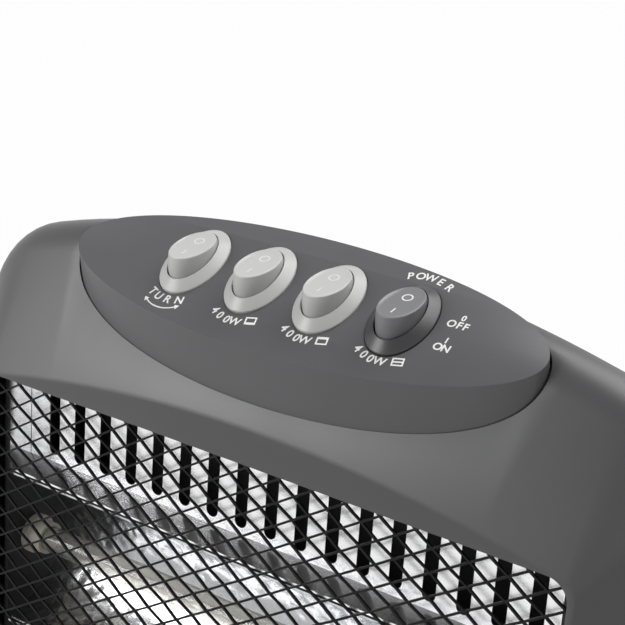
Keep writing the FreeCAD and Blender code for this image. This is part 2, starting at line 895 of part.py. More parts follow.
contacts = []
for name, level in zip(tube_names, tube_levels):
    keep(name + "_quartz_tube", tube(
        name + "_quartz_tube", "x", "tube_radius", "tube_radius - tube_wall", "-tube_half_length",
        "tube_half_length", "tube_y", level))
    keep(name + "_filament", rod(
        name + "_filament", "x", "filament_radius", "-tube_half_length", "tube_half_length", "tube_y", level))
    caps = []
    for side, sign in (("left", "-"), ("right", "")):
        near, far = "tube_half_length", "tube_half_length + cap_length"
        stop, seat = "panel_half_width - cap_flange_thick", "panel_half_width"
        tab_near, tab_far = far, far + " + contact_length"
        if sign:
            near, far = "-(%s)" % far, "-(%s)" % near
            stop, seat = "-(%s)" % seat, "-(%s)" % stop
            tab_near, tab_far = "-(%s)" % tab_far, "-(%s)" % tab_near
        barrel = rod("%s_%s_barrel" % (name, side), "x", "cap_radius", near, far, "tube_y", level)
        flange = rod("%s_%s_flange" % (name, side), "x", "cap_flange_radius", stop, seat, "tube_y", level)
        caps.append(fuse("%s_%s_cap" % (name, side), barrel, flange))
        contacts.append(box(
            "%s_%s_contact" % (name, side),
            (tab_near, tab_far),
            ("tube_y - blade_thick / 2", "tube_y + blade_thick / 2"),
            (level + " - contact_width / 2", level + " + contact_width / 2"),
        ))
    keep(name + "_end_caps", group(name + "_end_caps", caps))
keep("tube_contacts", group("tube_contacts", contacts))

# Carrier brackets, heat shield and thermal cutout

for side, sign in (("left", "-"), ("right", "")):
    span = ("panel_half_width", "panel_half_width + bracket_thick")
    if sign:
        span = ("-(%s)" % span[1], "-(%s)" % span[0])
    plate = box(side + "_bracket_plate", span, ("grille_back_y + grille_thick", "bracket_back_y"),
                ("panel_bottom", "panel_top"))
    holes = [
        rod("%s_bracket_hole_%d" % (side, index), "x", "cap_radius + cap_fit", span[0] + " - overrun",
            span[1] + " + overrun", "tube_y", level)
        for index, level in enumerate(tube_levels)
    ]
    keep(side + "_tube_bracket", cut(side + "_tube_bracket", plate, fuse(side + "_bracket_holes", *holes)))
bracket_half = "(panel_half_width + bracket_thick)"
keep("heat_shield", box(
    "heat_shield", ("-" + bracket_half, bracket_half), ("bracket_back_y", "bracket_back_y + shield_thick"),
    ("panel_bottom", "panel_top"),
))
keep("thermal_cutout", rod(
    "thermal_cutout", "y", "cutout_radius", "bracket_back_y + shield_thick",
    "bracket_back_y + shield_thick + cutout_height", "cutout_x", "cutout_z"))

# Base: domed cover with the neck, plate, feet, weight, gland and terminal block


def base_profile(depth):
    wall_point = lambda radius, height: Vector(radius - depth, 0, height - depth)
    low = Vector(v.base_radius - depth, 0, v.plate_low)
    skirt = wall_point(v.base_radius, v.skirt_top)
    dome = wall_point(v.dome_mid_radius, v.dome_mid_height)
    crown = wall_point(v.dome_top_radius, v.dome_top_height)
    flare = wall_point(v.flare_mid_radius, v.flare_mid_height)
    waist = wall_point(v.neck_radius, v.flare_top)
    top = wall_point(v.neck_radius, v.neck_top)
    edges = [
        Part.LineSegment(low, skirt),
        Part.Arc(skirt, dome, crown),
        Part.Arc(crown, flare, waist),
        Part.LineSegment(waist, top),
        Part.LineSegment(top, Vector(0, 0, top.z)),
        Part.LineSegment(Vector(0, 0, top.z), Vector(0, 0, low.z)),
        Part.LineSegment(Vector(0, 0, low.z), low),
    ]
    face = Part.Face(Part.Wire([edge.toShape() for edge in edges]))
    return face.revolve(Vector(), Vector(0, 0, 1), full_turn)


plate_top = "(plate_low + plate_thick)"
gland_level = plate_top + " + gland_radius + gland_lift"
base_corners = [
    ("base_screw_circle * cos(%s)" % angle, "base_screw_circle * sin(%s)" % angle)
    for angle in ("base_screw_angle", "180 - base_screw_angle", "180 + base_screw_angle", "-base_screw_angle")
]
base_outer = base_profile(0)
base_skin = cut("base_skin", feature("base_outer", base_outer), feature("base_inner", base_profile(v.base_wall)))
base_bosses = common(
    "base_bosses",
    fuse("base_boss_rods", *[
        rod("base_boss_%d" % index, "z", "base_boss_radius", plate_top, "dome_top_height", x, y)
        for index, (x, y) in enumerate(base_corners)
    ]),
    feature("base_boss_limit", base_outer),
)
base_body = fuse("base_body", base_skin, base_bosses)
base_cuts = fuse(
    "base_cuts",
    rod("post_way", "z", "post_radius + post_play", "neck_top - base_wall - overrun", "neck_top + overrun"),
    rod("gland_way", "y", "gland_radius + screw_play", "base_radius - base_wall - gland_tail", "base_radius + overrun",
        "0", gland_level),
    *[
        rod("base_pilot_%d" % index, "z", "screw_radius + screw_play", plate_top + " - overrun",
            plate_top + " + base_screw_length", x, y)
        for index, (x, y) in enumerate(base_corners)
    ],
)
keep("base_cover", cut("base_cover", base_body, base_cuts))

plate_disc = rod("plate_disc", "z", "base_radius - base_wall - plate_play", "plate_low", plate_top)
plate_cuts = fuse(
    "plate_cuts",
    rod("plunger_way", "z", "plunger_radius + plunger_lift", "plate_low - overrun", plate_top + " + overrun",
        "0", "tip_y"),
    *[
        rod("plate_hole_%d" % index, "z", "screw_radius + screw_play", "plate_low - overrun",
            plate_top + " + overrun", x, y)
        for index, (x, y) in enumerate(base_corners)
    ],
)
keep("base_plate", cut("base_plate", plate_disc, plate_cuts))

base_screws = []
for index, (x, y) in enumerate(base_corners):
    shank = rod("base_shank_%d" % index, "z", "screw_radius", "plate_low",
                plate_top + " + base_screw_length - overrun", x, y)
    head = rod("base_head_%d" % index, "z", "screw_head_radius", "plate_low - base_screw_head", "plate_low", x, y)
    base_screws.append(fuse("base_screw_%d" % index, shank, head))
keep("base_screws", group("base_screws", base_screws))

foot_spots = [("foot_circle * cos(%d)" % (foot_angle + quarter * right_angle),
               "foot_circle * sin(%d)" % (foot_angle + quarter * right_angle)) for quarter in range(4)]
keep("rubber_feet", group("rubber_feet", [
    rod("foot_%d" % index, "z", "foot_radius", "0", "plate_low", x, y)
    for index, (x, y) in enumerate(foot_spots)
]))
keep("base_weight", tube("base_weight", "z", "weight_outer", "weight_inner", plate_top,
                         plate_top + " + weight_height"))

gland_inner = "base_radius - base_wall - gland_tail"
keep("cable_gland", tube("cable_gland", "y", "gland_radius", "gland_bore", gland_inner, "base_radius", "0",
                         gland_level))
keep("terminal_block", box(
    "terminal_block", ("-block_length / 2", "block_length / 2"), ("block_y", "block_y + block_width"),
    (plate_top, plate_top + " + block_height"),
))

# Swivel: fixed post with its washer, swing gear and nut, then the bush plate of the head

keep("swivel_post", turned("swivel_post", [
    ("post_bore", plate_top),
    ("post_flange_radius", plate_top),
    ("post_flange_radius", plate_top + " + post_flange"),
    ("post_radius", plate_top + " + post_flange"),
    ("post_radius", "post_shoulder_z"),
    ("post_neck_radius", "post_shoulder_z"),
    ("post_neck_radius", "post_top_z"),
    ("post_bore", "post_top_z"),
]))
keep("thrust_washer", tube("thrust_washer", "z", "washer_radius", "post_radius + post_play", "neck_top",
                           "neck_top + washer_thick"))
keep("post_nut", tube("post_nut", "z", "nut_radius", "post_neck_radius", "post_shoulder_z + gear_thick",
                      "post_shoulder_z + gear_thick + nut_height"))


def gear_shape(teeth, low, high, bore):
    pitch_radius = v.gear_module * teeth / 2
    add, ded = v.gear_module * addendum_share, v.gear_module * dedendum_share
    half = math.pi * v.gear_module * tooth_share / 2
    slope = math.tan(math.radians(pressure_angle))
    flank = [
        (pitch_radius - ded, (half + ded * slope) / (pitch_radius - ded)),
        (pitch_radius + add, (half - add * slope) / (pitch_radius + add)),
    ]
    points = []
    for tooth in range(teeth):
        middle = math.pi / 2 + 2 * math.pi * tooth / teeth
        for radius, lean in [(r, -a) for r, a in flank] + [(r, a) for r, a in reversed(flank)]:
            points.append(Vector(radius * math.cos(middle + lean), radius * math.sin(middle + lean), low))
    face = Part.Face(Part.makePolygon(points + points[:1]))
    wheel = face.extrude(Vector(0, 0, high - low))
    if bore:
        wheel = wheel.cut(Part.makeCylinder(bore, high - low + 2 * v.overrun, Vector(0, 0, low - v.overrun)))
    return wheel


gear_low = v.post_shoulder_z
gear_high = v.post_shoulder_z + v.gear_thick
pinion_y = v.gear_module * (gear_teeth + pinion_teeth) / 2
keep("swing_gear", feature("swing_gear", gear_shape(gear_teeth, gear_low, gear_high, v.post_neck_radius)))
pinion = gear_shape(pinion_teeth, gear_low, gear_high, 0).fuse(Part.makeCylinder(
    v.pinion_shaft_radius, v.mount_low + v.mount_plate + v.shaft_engage - gear_low, Vector(0, 0, gear_low)))
keep("swing_pinion", feature("swing_pinion", pinion, Placement(Vector(0, pinion_y, 0), Rotation())))

bush_low = "neck_top + washer_thick + washer_gap"
swivel_top = "swivel_low + swivel_thick"
swivel_body = fuse(
    "swivel_body",
    box("swivel_sheet", ("-swivel_half_width", "swivel_half_width"), ("swivel_front_y", "swivel_back_y"),
        ("swivel_low", swivel_top)),
    rod("swivel_bush", "z", "bush_radius", bush_low, "bush_top_z"),
)
swivel_bore = rod("swivel_bore", "z", "post_radius + bush_clearance", bush_low + " - overrun",
                  "bush_top_z + overrun")
keep("swivel_plate", cut("swivel_plate", swivel_body, swivel_bore))

# Swing motor on its stand above the pinion

pinion_way = "gear_module * %d / 2" % (gear_teeth + pinion_teeth)
motor_y = pinion_way + " - motor_offset"
mount_top = "(mount_low + mount_plate)"
mount_back = motor_y + " + motor_radius - mount_leg"
legs = [
    box("mount_leg_left", ("-mount_leg_x", "-mount_leg_x + mount_leg"), ("mount_front_y", "swivel_back_y"),
        (swivel_top, mount_top)),
    box("mount_leg_right", ("mount_leg_x - mount_leg", "mount_leg_x"), ("mount_front_y", "swivel_back_y"),
        (swivel_top, mount_top)),
    box("mount_deck", ("-mount_leg_x", "mount_leg_x"), ("mount_front_y", mount_back), ("mount_low", mount_top)),
]
shaft_way = rod("shaft_way", "z", "pinion_shaft_radius + overrun", "mount_low - overrun",
                mount_top + " + overrun", "0", pinion_way)
keep("motor_stand", cut("motor_stand", fuse("stand_body", *legs), shaft_way))
motor_ears = box(
    "motor_ears", ("-motor_radius - motor_ear", "motor_radius + motor_ear"),
    (motor_y + " - motor_ear", motor_y + " + motor_ear"), (mount_top, mount_top + " + mount_plate"),
)
motor_can = rod("motor_can", "z", "motor_radius", mount_top, mount_top + " + motor_height", "0", motor_y)
motor_bore = rod("motor_bore", "z", "pinion_shaft_radius + pinion_clearance", mount_top + " - overrun",
                 mount_top + " + shaft_engage + overrun", "0", pinion_way)
keep("swing_motor", cut("swing_motor", fuse("motor_body", motor_can, motor_ears), motor_bore))

# Tip over switch: case, plunger, spring and microswitch

tip_span = ("-tip_case_half", "tip_case_half"), ("tip_y - tip_case_half", "tip_y + tip_case_half")
tip_case = box("tip_case", *tip_span, (plate_top, "tip_case_top"))
tip_cuts = fuse(
    "tip_cuts",
    rod("tip_chamber_hole", "z", "tip_chamber", "tip_floor", "tip_roof", "0", "tip_y"),
    rod("tip_guide", "z", "plunger_radius + plunger_clearance", plate_top + " - overrun", "tip_roof", "0", "tip_y"),
    rod("tip_guide_top", "z", "plunger_tip_radius + plunger_clearance", "tip_floor", "tip_case_top + overrun",
        "0", "tip_y"),
)
keep("tip_switch_case", cut("tip_switch_case", tip_case, tip_cuts))
flange_top = "(plunger_flange_low + plunger_flange)"
keep("tip_plunger", fuse(
    "tip_plunger",
    rod("plunger_stem", "z", "plunger_radius", "plunger_lift", flange_top, "0", "tip_y"),
    rod("plunger_collar", "z", "plunger_flange_radius", "plunger_flange_low", flange_top, "0", "tip_y"),
    rod("plunger_tip", "z", "plunger_tip_radius", "plunger_flange_low", "tip_case_top - plunger_tip_gap", "0",
        "tip_y"),
))
keep("tip_spring", tube("tip_spring", "z", "tip_spring_outer", "tip_spring_inner", flange_top, "tip_roof", "0",
                        "tip_y"))
keep("tip_microswitch", box("tip_microswitch", *tip_span, ("tip_case_top", "tip_case_top + micro_height")))

doc.recompute()
for item in doc.Objects:
    if "Invalid" in item.State or "Error" in item.State:
        raise RuntimeError("failed object: " + item.Name)
for node in nodes:
    if node.Shape.isNull() or not node.Shape.isValid():
        raise RuntimeError("bad shape: " + node.Label)

os.makedirs("parts", exist_ok=True)
for node in nodes:
    node.Shape.exportStep("parts/%s.step" % node.Label)
    print(node.Label, len(node.Shape.Solids), round(node.Shape.Volume))
print(len(nodes), "nodes")
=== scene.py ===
import json
import math
import bmesh
import bpy
from mathutils import Matrix, Vector


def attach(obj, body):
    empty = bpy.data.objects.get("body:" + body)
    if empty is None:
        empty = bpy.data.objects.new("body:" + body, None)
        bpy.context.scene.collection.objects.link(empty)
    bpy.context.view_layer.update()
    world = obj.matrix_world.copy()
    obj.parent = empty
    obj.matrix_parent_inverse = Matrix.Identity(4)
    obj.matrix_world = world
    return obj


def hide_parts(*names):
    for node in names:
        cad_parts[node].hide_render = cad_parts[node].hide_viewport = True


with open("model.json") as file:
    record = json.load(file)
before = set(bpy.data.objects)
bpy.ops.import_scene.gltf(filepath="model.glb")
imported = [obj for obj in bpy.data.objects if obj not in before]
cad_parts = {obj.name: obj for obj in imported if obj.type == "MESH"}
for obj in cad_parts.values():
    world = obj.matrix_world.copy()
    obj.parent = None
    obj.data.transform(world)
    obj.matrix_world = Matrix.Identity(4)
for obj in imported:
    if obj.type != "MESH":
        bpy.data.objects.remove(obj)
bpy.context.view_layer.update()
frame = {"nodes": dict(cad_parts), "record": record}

mm = 0.001
smoothAngle = 35  # degrees, steeper edges stay sharp
alongX = Matrix.Rotation(math.pi / 2, 4, "Y")  # lays a standing rod along X
alongY = Matrix.Rotation(math.pi / 2, 4, "X")
shadeSocket, tintSocket, colourSocket = 6, 7, 2  # the Mix node's colour sockets
cadNodes = frame["nodes"]
scene = bpy.context.scene
scene.view_settings.view_transform = "Standard"


def srgb(hexText):
    parts = [int(hexText[i:i + 2], 16) / 255 for i in (1, 3, 5)]
    return [p / 12.92 if p <= 0.04045 else ((p + 0.055) / 1.055) ** 2.4 for p in parts] + [1.0]


def addNode(tree, kind, inputs=None, **settings):
    node = tree.nodes.new(kind)
    for name, value in settings.items():
        setattr(node, name, value)
    for name, value in (inputs or {}).items():
        if isinstance(value, bpy.types.NodeSocket):
            tree.links.new(value, node.inputs[name])
        else:
            node.inputs[name].default_value = value
    return node


def startMaterial(name, **sockets):
    material = bpy.data.materials.new(name)
    material.use_nodes = True
    tree = material.node_tree
    shader = tree.nodes["Principled BSDF"]
    for socket, value in sockets.items():
        shader.inputs[socket.replace("_", " ")].default_value = value
    coords = addNode(tree, "ShaderNodeTexCoord").outputs["Object"]
    return material, tree, shader, coords


def perMm(size):  # texture scale for a pattern of this size in millimetres
    return 1 / (size * mm)


# Injection moulded ABS: satin skin from a spark eroded mould, faint flow mottle, uneven gloss
def mouldedAbs(name, tint, shade, roughness, grain=0.9, depth=0.012, mottle=38, spread=0.05):
    material, tree, shader, coords = startMaterial(name, IOR=1.53)
    broad = addNode(tree, "ShaderNodeTexNoise", {
        "Vector": coords, "Scale": perMm(mottle), "Detail": 3.0})
    colour = addNode(tree, "ShaderNodeMix", {
        "Factor": broad.outputs["Fac"], shadeSocket: srgb(shade), tintSocket: srgb(tint)},
        data_type="RGBA")
    tree.links.new(colour.outputs[colourSocket], shader.inputs["Base Color"])
    fine = addNode(tree, "ShaderNodeTexNoise", {
        "Vector": coords, "Scale": perMm(grain), "Detail": 2.0})
    gloss = addNode(tree, "ShaderNodeMapRange", {
        "Value": broad.outputs["Fac"], "To Min": roughness - spread, "To Max": roughness + spread})
    tree.links.new(gloss.outputs["Result"], shader.inputs["Roughness"])
    bump = addNode(tree, "ShaderNodeBump", {
        "Height": fine.outputs["Fac"], "Distance": depth * mm, "Strength": 0.6})
    tree.links.new(bump.outputs["Normal"], shader.inputs["Normal"])
    return material


# Rolled aluminium sheet, bright dipped: fine rolling lines along the length, small gloss changes
def brightAluminium(name, tint, roughness, line=0.5, draw=0.02, depth=0.01):
    material, tree, shader, coords = startMaterial(name, Metallic=1.0)
    shader.inputs["Base Color"].default_value = srgb(tint)
    turned = addNode(tree, "ShaderNodeMapping", {"Vector": coords, "Scale": (draw, 1, 1)})
    lines = addNode(tree, "ShaderNodeTexNoise", {
        "Vector": turned.outputs["Vector"], "Scale": perMm(line), "Detail": 2.0})
    gloss = addNode(tree, "ShaderNodeMapRange", {
        "Value": lines.outputs["Fac"], "To Min": roughness * 0.7, "To Max": roughness * 1.4})
    tree.links.new(gloss.outputs["Result"], shader.inputs["Roughness"])
    bump = addNode(tree, "ShaderNodeBump", {
        "Height": lines.outputs["Fac"], "Distance": depth * mm, "Strength": 0.3})
    tree.links.new(bump.outputs["Normal"], shader.inputs["Normal"])
    return material


# Stucco embossed aluminium: rolled pebbles a few millimetres across that break up reflections
def hammeredAluminium(name, tint, roughness, pebble=5.0, grit=2.2, gritShare=0.25, depth=0.5):
    material, tree, shader, coords = startMaterial(name, Metallic=1.0)
    shader.inputs["Base Color"].default_value = srgb(tint)
    shader.inputs["Roughness"].default_value = roughness
    cells = addNode(tree, "ShaderNodeTexVoronoi", {
        "Vector": coords, "Scale": perMm(pebble), "Smoothness": 0.6}, feature="SMOOTH_F1")
    fine = addNode(tree, "ShaderNodeTexNoise", {
        "Vector": coords, "Scale": perMm(grit), "Detail": 2.0})
    both = addNode(tree, "ShaderNodeMath", {
        0: fine.outputs["Fac"], 1: gritShare, 2: cells.outputs["Distance"]},
        operation="MULTIPLY_ADD")
    bump = addNode(tree, "ShaderNodeBump", {
        "Height": both.outputs[0], "Distance": depth * mm, "Strength": 0.9})
    tree.links.new(bump.outputs["Normal"], shader.inputs["Normal"])
    return material


# Plated, stamped or drawn metal: even colour with a crystalline bloom in its gloss
def platedSteel(name, tint, roughness, bloom=3.0, grain=0.6, depth=0.01):
    material, tree, shader, coords = startMaterial(name, Metallic=1.0)
    spots = addNode(tree, "ShaderNodeTexVoronoi", {"Vector": coords, "Scale": perMm(bloom)})
    gloss = addNode(tree, "ShaderNodeMapRange", {
        "Value": spots.outputs["Distance"], "To Min": roughness - 0.08, "To Max": roughness + 0.12})
    tree.links.new(gloss.outputs["Result"], shader.inputs["Roughness"])
    shader.inputs["Base Color"].default_value = srgb(tint)
    fine = addNode(tree, "ShaderNodeTexNoise", {
        "Vector": coords, "Scale": perMm(grain), "Detail": 3.0})
    bump = addNode(tree, "ShaderNodeBump", {
        "Height": fine.outputs["Fac"], "Distance": depth * mm, "Strength": 0.4})
    tree.links.new(bump.outputs["Normal"], shader.inputs["Normal"])
    return material


# Stoved paint, ink, cast iron, rubber, ceramic: dull skins with an orange peel or sandy grain
def dullSkin(name, tint, shade, roughness, grain, depth, ior=1.5, spread=0.06):
    material, tree, shader, coords = startMaterial(name, IOR=ior)
    peel = addNode(tree, "ShaderNodeTexNoise", {
        "Vector": coords, "Scale": perMm(grain), "Detail": 3.0})
    colour = addNode(tree, "ShaderNodeMix", {
        "Factor": peel.outputs["Fac"], shadeSocket: srgb(shade), tintSocket: srgb(tint)},
        data_type="RGBA")
    tree.links.new(colour.outputs[colourSocket], shader.inputs["Base Color"])
    gloss = addNode(tree, "ShaderNodeMapRange", {
        "Value": peel.outputs["Fac"], "To Min": roughness - spread, "To Max": roughness + spread})
    tree.links.new(gloss.outputs["Result"], shader.inputs["Roughness"])
    bump = addNode(tree, "ShaderNodeBump", {
        "Height": peel.outputs["Fac"], "Distance": depth * mm, "Strength": 0.6})
    tree.links.new(bump.outputs["Normal"], shader.inputs["Normal"])
    return material


# Fused quartz tube: clear with a faint milky draw along its length
def fusedQuartz(name, tint, line=2.0, draw=0.05):
    material, tree, shader, coords = startMaterial(name, IOR=1.46, Transmission_Weight=0.92)
    shader.inputs["Base Color"].default_value = srgb(tint)
    turned = addNode(tree, "ShaderNodeMapping", {"Vector": coords, "Scale": (draw, 1, 1)})
    milk = addNode(tree, "ShaderNodeTexNoise", {
        "Vector": turned.outputs["Vector"], "Scale": perMm(line), "Detail": 2.0})
    gloss = addNode(tree, "ShaderNodeMapRange", {
        "Value": milk.outputs["Fac"], "To Min": 0.04, "To Max": 0.22})
    tree.links.new(gloss.outputs["Result"], shader.inputs["Roughness"])
    return material


finishes = {
    "housing_plastic": mouldedAbs("darkAbsHousing", "#4f4f51", "#484849", 0.4, depth=0.02),
    # Painted light: the pod takes a lighter copy of the housing's dark ABS, so its tilted top reads
    # brighter than the housing
    "pod_plastic": mouldedAbs("darkAbsPodPaintedLighter", "#5c5c5e", "#545456", 0.36, depth=0.02),
    "cover_plastic": mouldedAbs("paleAbsCover", "#bcbcb9", "#b2b2af", 0.48, grain=1.4, depth=0.03),
    "light_switch": mouldedAbs("paleAbsBezel", "#c3c3c1", "#bcbcba", 0.36, depth=0.006),
    "light_rocker": mouldedAbs("paleAbsRocker", "#c4c4c2", "#bdbdbb", 0.34, depth=0.006),
    "dark_switch": mouldedAbs("darkAbsBezel", "#3e3e40", "#38383a", 0.36, depth=0.006),
    "dark_rocker": mouldedAbs("darkAbsRocker", "#7e7e80", "#767678", 0.34, depth=0.006),
    "black_plastic": mouldedAbs("blackAbs", "#1d1d1e", "#161617", 0.45),
    "white_nylon": mouldedAbs("naturalNylon", "#dedbd2", "#d2cec4", 0.45, mottle=12),
    "grille_paint": dullSkin("blackStoveEnamel", "#0d0d0e", "#080809", 0.55, 0.8, 0.02, ior=1.3),
    "bracket_paint": dullSkin("blackStovedSheet", "#1b1b1c", "#121213", 0.5, 0.9, 0.02),
    "polished_sheet": brightAluminium("brightDippedAluminium", "#f8f8f9", 0.16),
    "hammered_sheet": hammeredAluminium("stuccoAluminium", "#cfd0d2", 0.24),
    "quartz_glass": fusedQuartz("fusedQuartz", "#f4f3ee"),
    "tungsten_wire": platedSteel("drawnTungsten", "#7d7a76", 0.4, bloom=1.0),
    "white_ceramic": dullSkin("steatiteCeramic", "#d9d4c8", "#cac4b6", 0.7, 1.2, 0.03),
    "brass_tab": platedSteel("stampedBrass", "#c9a253", 0.3, bloom=2.0),
    "screw_steel": platedSteel("zincPlatedScrew", "#b9bbbd", 0.3),
    "zinc_sheet": platedSteel("zincPlatedSheet", "#b2b4b6", 0.38, bloom=8.0),
    "cast_weight": dullSkin("greyCastIron", "#3a3a3b", "#2b2b2c", 0.7, 1.5, 0.12),
    "foot_rubber": dullSkin("mouldedRubber", "#1c1c1c", "#141414", 0.8, 0.7, 0.03),
    "white_ink": dullSkin("whitePadPrint", "#f1f1ef", "#e4e4e2", 0.55, 0.5, 0.004),
    "light_rocker_ink": dullSkin("greyPadPrint", "#e2e2e0", "#d6d6d4", 0.5, 0.5, 0.004),
    "dark_rocker_ink": dullSkin("whiteRockerPrint", "#ececea", "#dededc", 0.5, 0.5, 0.004),
}
for part in frame["record"]["subparts"]:
    mesh = cadNodes[part["node"]].data
    mesh.materials.clear()
    mesh.materials.append(finishes[part["material_slot"]])
# Painted shade: the metal shield behind the slotted panel takes the black bracket paint in place of
# its own sheet finish, standing in for the shaded cavity, so the slots look dark
cadNodes["heat_shield"].data.materials[0] = finishes["bracket_paint"]
print("finishes on", len(cadNodes), "nodes")


def addPiece(name, bm, finish, body="head", replaced=(), angle=smoothAngle):
    bmesh.ops.recalc_face_normals(bm, faces=bm.faces)
    mesh = bpy.data.meshes.new(name)
    bm.to_mesh(mesh)
    bm.free()
    mesh.materials.append(finishes[finish])
    mesh.shade_smooth()
    mesh.set_sharp_from_angle(angle=math.radians(angle))
    piece = bpy.data.objects.new(name, mesh)
    scene.collection.objects.link(piece)
    print(name, len(mesh.polygons), "faces")
    if body:  # cutters ride on nothing
        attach(piece, body)
        if replaced:
            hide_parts(*replaced)
    return piece


def finalMesh(holder):
    bpy.context.view_layer.update()
    graph = bpy.context.evaluated_depsgraph_get()
    return bpy.data.meshes.new_from_object(holder.evaluated_get(graph))


def carve(piece, cutters, operation="DIFFERENCE", rim=None, rimSegments=3, rimAngle=40):
    for cutter in cutters:
        step = piece.modifiers.new("carve", "BOOLEAN")
        step.operation = operation
        step.solver = "EXACT"
        step.object = cutter
    if rim:
        edge = piece.modifiers.new("rim", "BEVEL")
        edge.width = rim * mm
        edge.segments = rimSegments
        edge.limit_method = "ANGLE"
        edge.angle_limit = math.radians(rimAngle)
        edge.use_clamp_overlap = True
    shaped = finalMesh(piece)
    piece.modifiers.clear()
    piece.data = shaped
    shaped.shade_smooth()
    shaped.set_sharp_from_angle(angle=math.radians(smoothAngle))
    for cutter in cutters:
        bpy.data.objects.remove(cutter)


def vertsOf(geom):
    return [g for g in geom if isinstance(g, bmesh.types.BMVert)]


def edgesOf(verts):
    return list({e for v in verts for e in v.link_edges})


def moved(x, y, z):  # matrix of a move in millimetres
    return Matrix.Translation(Vector((x, y, z)) * mm)


def addBox(bm, low, high):
    low, high = Vector(low) * mm, Vector(high) * mm
    made = bmesh.ops.create_cube(bm, size=1)["verts"]
    bmesh.ops.scale(bm, vec=high - low, verts=made)
    bmesh.ops.translate(bm, vec=(low + high) / 2, verts=made)
    return made


def addRod(bm, radius, length, place, sides):
    bmesh.ops.create_cone(bm, cap_ends=True, segments=sides, radius1=radius * mm,
                          radius2=radius * mm, depth=length * mm, matrix=place)


# A closed outline in one depth plane: arched top and bottom, straight sides, round corners
def outlineRing(bm, y, halfWidth, top, bottom, arch, corner, archSteps=12, cornerSteps=10):
    old = set(bm.edges)
    inner = halfWidth - corner
    swing = math.asin(inner / (arch - corner))
    reach = (arch - corner) * math.cos(swing)
    ends = []
    for start, level, sign in ((top, top - arch, 1), (bottom, bottom + arch, -1)):
        geom = [bm.verts.new((0, y * mm, start * mm))]
        for centre, turn, steps in (
                ((0, level), swing, archSteps),
                ((inner, level + sign * reach), math.pi / 2 - swing, cornerSteps)):
            spun = bmesh.ops.spin(
                bm, geom=geom, cent=(centre[0] * mm, y * mm, centre[1] * mm), axis=(0, 1, 0),
                angle=sign * turn, steps=steps)
            geom = vertsOf(spun["geom_last"])
        ends.append(geom[0])
    bm.edges.new(ends)
    half = [e for e in bm.edges if e not in old]
    points = list({v for e in half for v in e.verts})
    bmesh.ops.mirror(bm, geom=points + half, axis="X", merge_dist=1e-6)
    return [e for e in bm.edges if e not in old]


def bridgeAll(bm, rings, closed=False):
    pairs = list(zip(rings, rings[1:]))
    if closed:
        pairs.append((rings[-1], rings[0]))
    for first, second in pairs:
        bmesh.ops.bridge_loops(bm, edges=first + second)


def mix(first, second, share):
    return tuple(a + (b - a) * share for a, b in zip(first, second))


def inset(section, depth, back=0):
    y, half, top, bottom, arch, corner = section
    return (y + back, half - depth, top - depth, bottom + depth, arch, corner - depth)


def lowered(section, drop):
    y, half, top, bottom, arch, corner = section
    return (y, half, top - drop, bottom, arch, corner)


# Sections of a soft bend past a peak, from a share of the way to it to a share of the way on
def roundOver(front, peak, back, startShare, endShare, steps):
    start, end = mix(front, peak, startShare), mix(peak, back, endShare)
    shares = [step / steps for step in range(steps + 1)]
    return [mix(mix(start, peak, t), mix(peak, end, t), t) for t in shares]


def ellipsePrism(name, place, halfX, halfY, low, high, sides=128):
    bm = bmesh.new()
    made = bmesh.ops.create_circle(bm, cap_ends=True, segments=sides, radius=1)["verts"]
    bmesh.ops.scale(bm, vec=(halfX * mm, halfY * mm, 1), verts=made)
    bmesh.ops.translate(bm, vec=(0, 0, low * mm), verts=made)
    grown = bmesh.ops.extrude_face_region(bm, geom=list(bm.faces))
    bmesh.ops.translate(bm, vec=(0, 0, (high - low) * mm), verts=vertsOf(grown["geom"]))
    bmesh.ops.transform(bm, matrix=place, verts=bm.verts)
    return addPiece(name, bm, "housing_plastic", body=None)


def cutterBoxes(name, *spans):
    bm = bmesh.new()
    for low, high in spans:
        addBox(bm, low, high)
    return addPiece(name, bm, "housing_plastic", body=None)


# Control pod: sizes come first, because the shells are cut to it (millimetres)
pod = {
    "rowY": -24, "rowZ": 515, "tilt": math.radians(32), "crown": 460, "crownSides": 1800,
    "halfLength": 103, "halfDepth": 27.6, "shift": -1.3, "lean": math.tan(math.radians(10.8)),
    "gap": 0.12, "endGap": 1.0, "floorTilt": math.radians(44), "floorDrop": 26, "rimRadius": 1.1,
    "barLength": 226.6, "wallSpan": (453, 577), "wallSides": 220, "holeSpan": (440, 580),
    "belowSize": 200,
}
podMiddleY = pod["rowY"] + pod["shift"]
podLean = Matrix.Identity(4)  # the wall leans forward as it rises
podLean[1][2], podLean[1][3] = -pod["lean"], pod["lean"] * pod["rowZ"] * mm
podPlace = podLean @ moved(0, podMiddleY, 0)
neck = {"radius": 22, "span": (130, 150), "sides": 64}  # swivel hole under the head


def podCutter(name, endGap):
    return ellipsePrism(name, podPlace, pod["halfLength"] + endGap,
                        pod["halfDepth"] + pod["gap"], *pod["holeSpan"])


def neckCutter(name):
    return ellipsePrism(name, Matrix.Identity(4), neck["radius"], neck["radius"],
                        *neck["span"], neck["sides"])


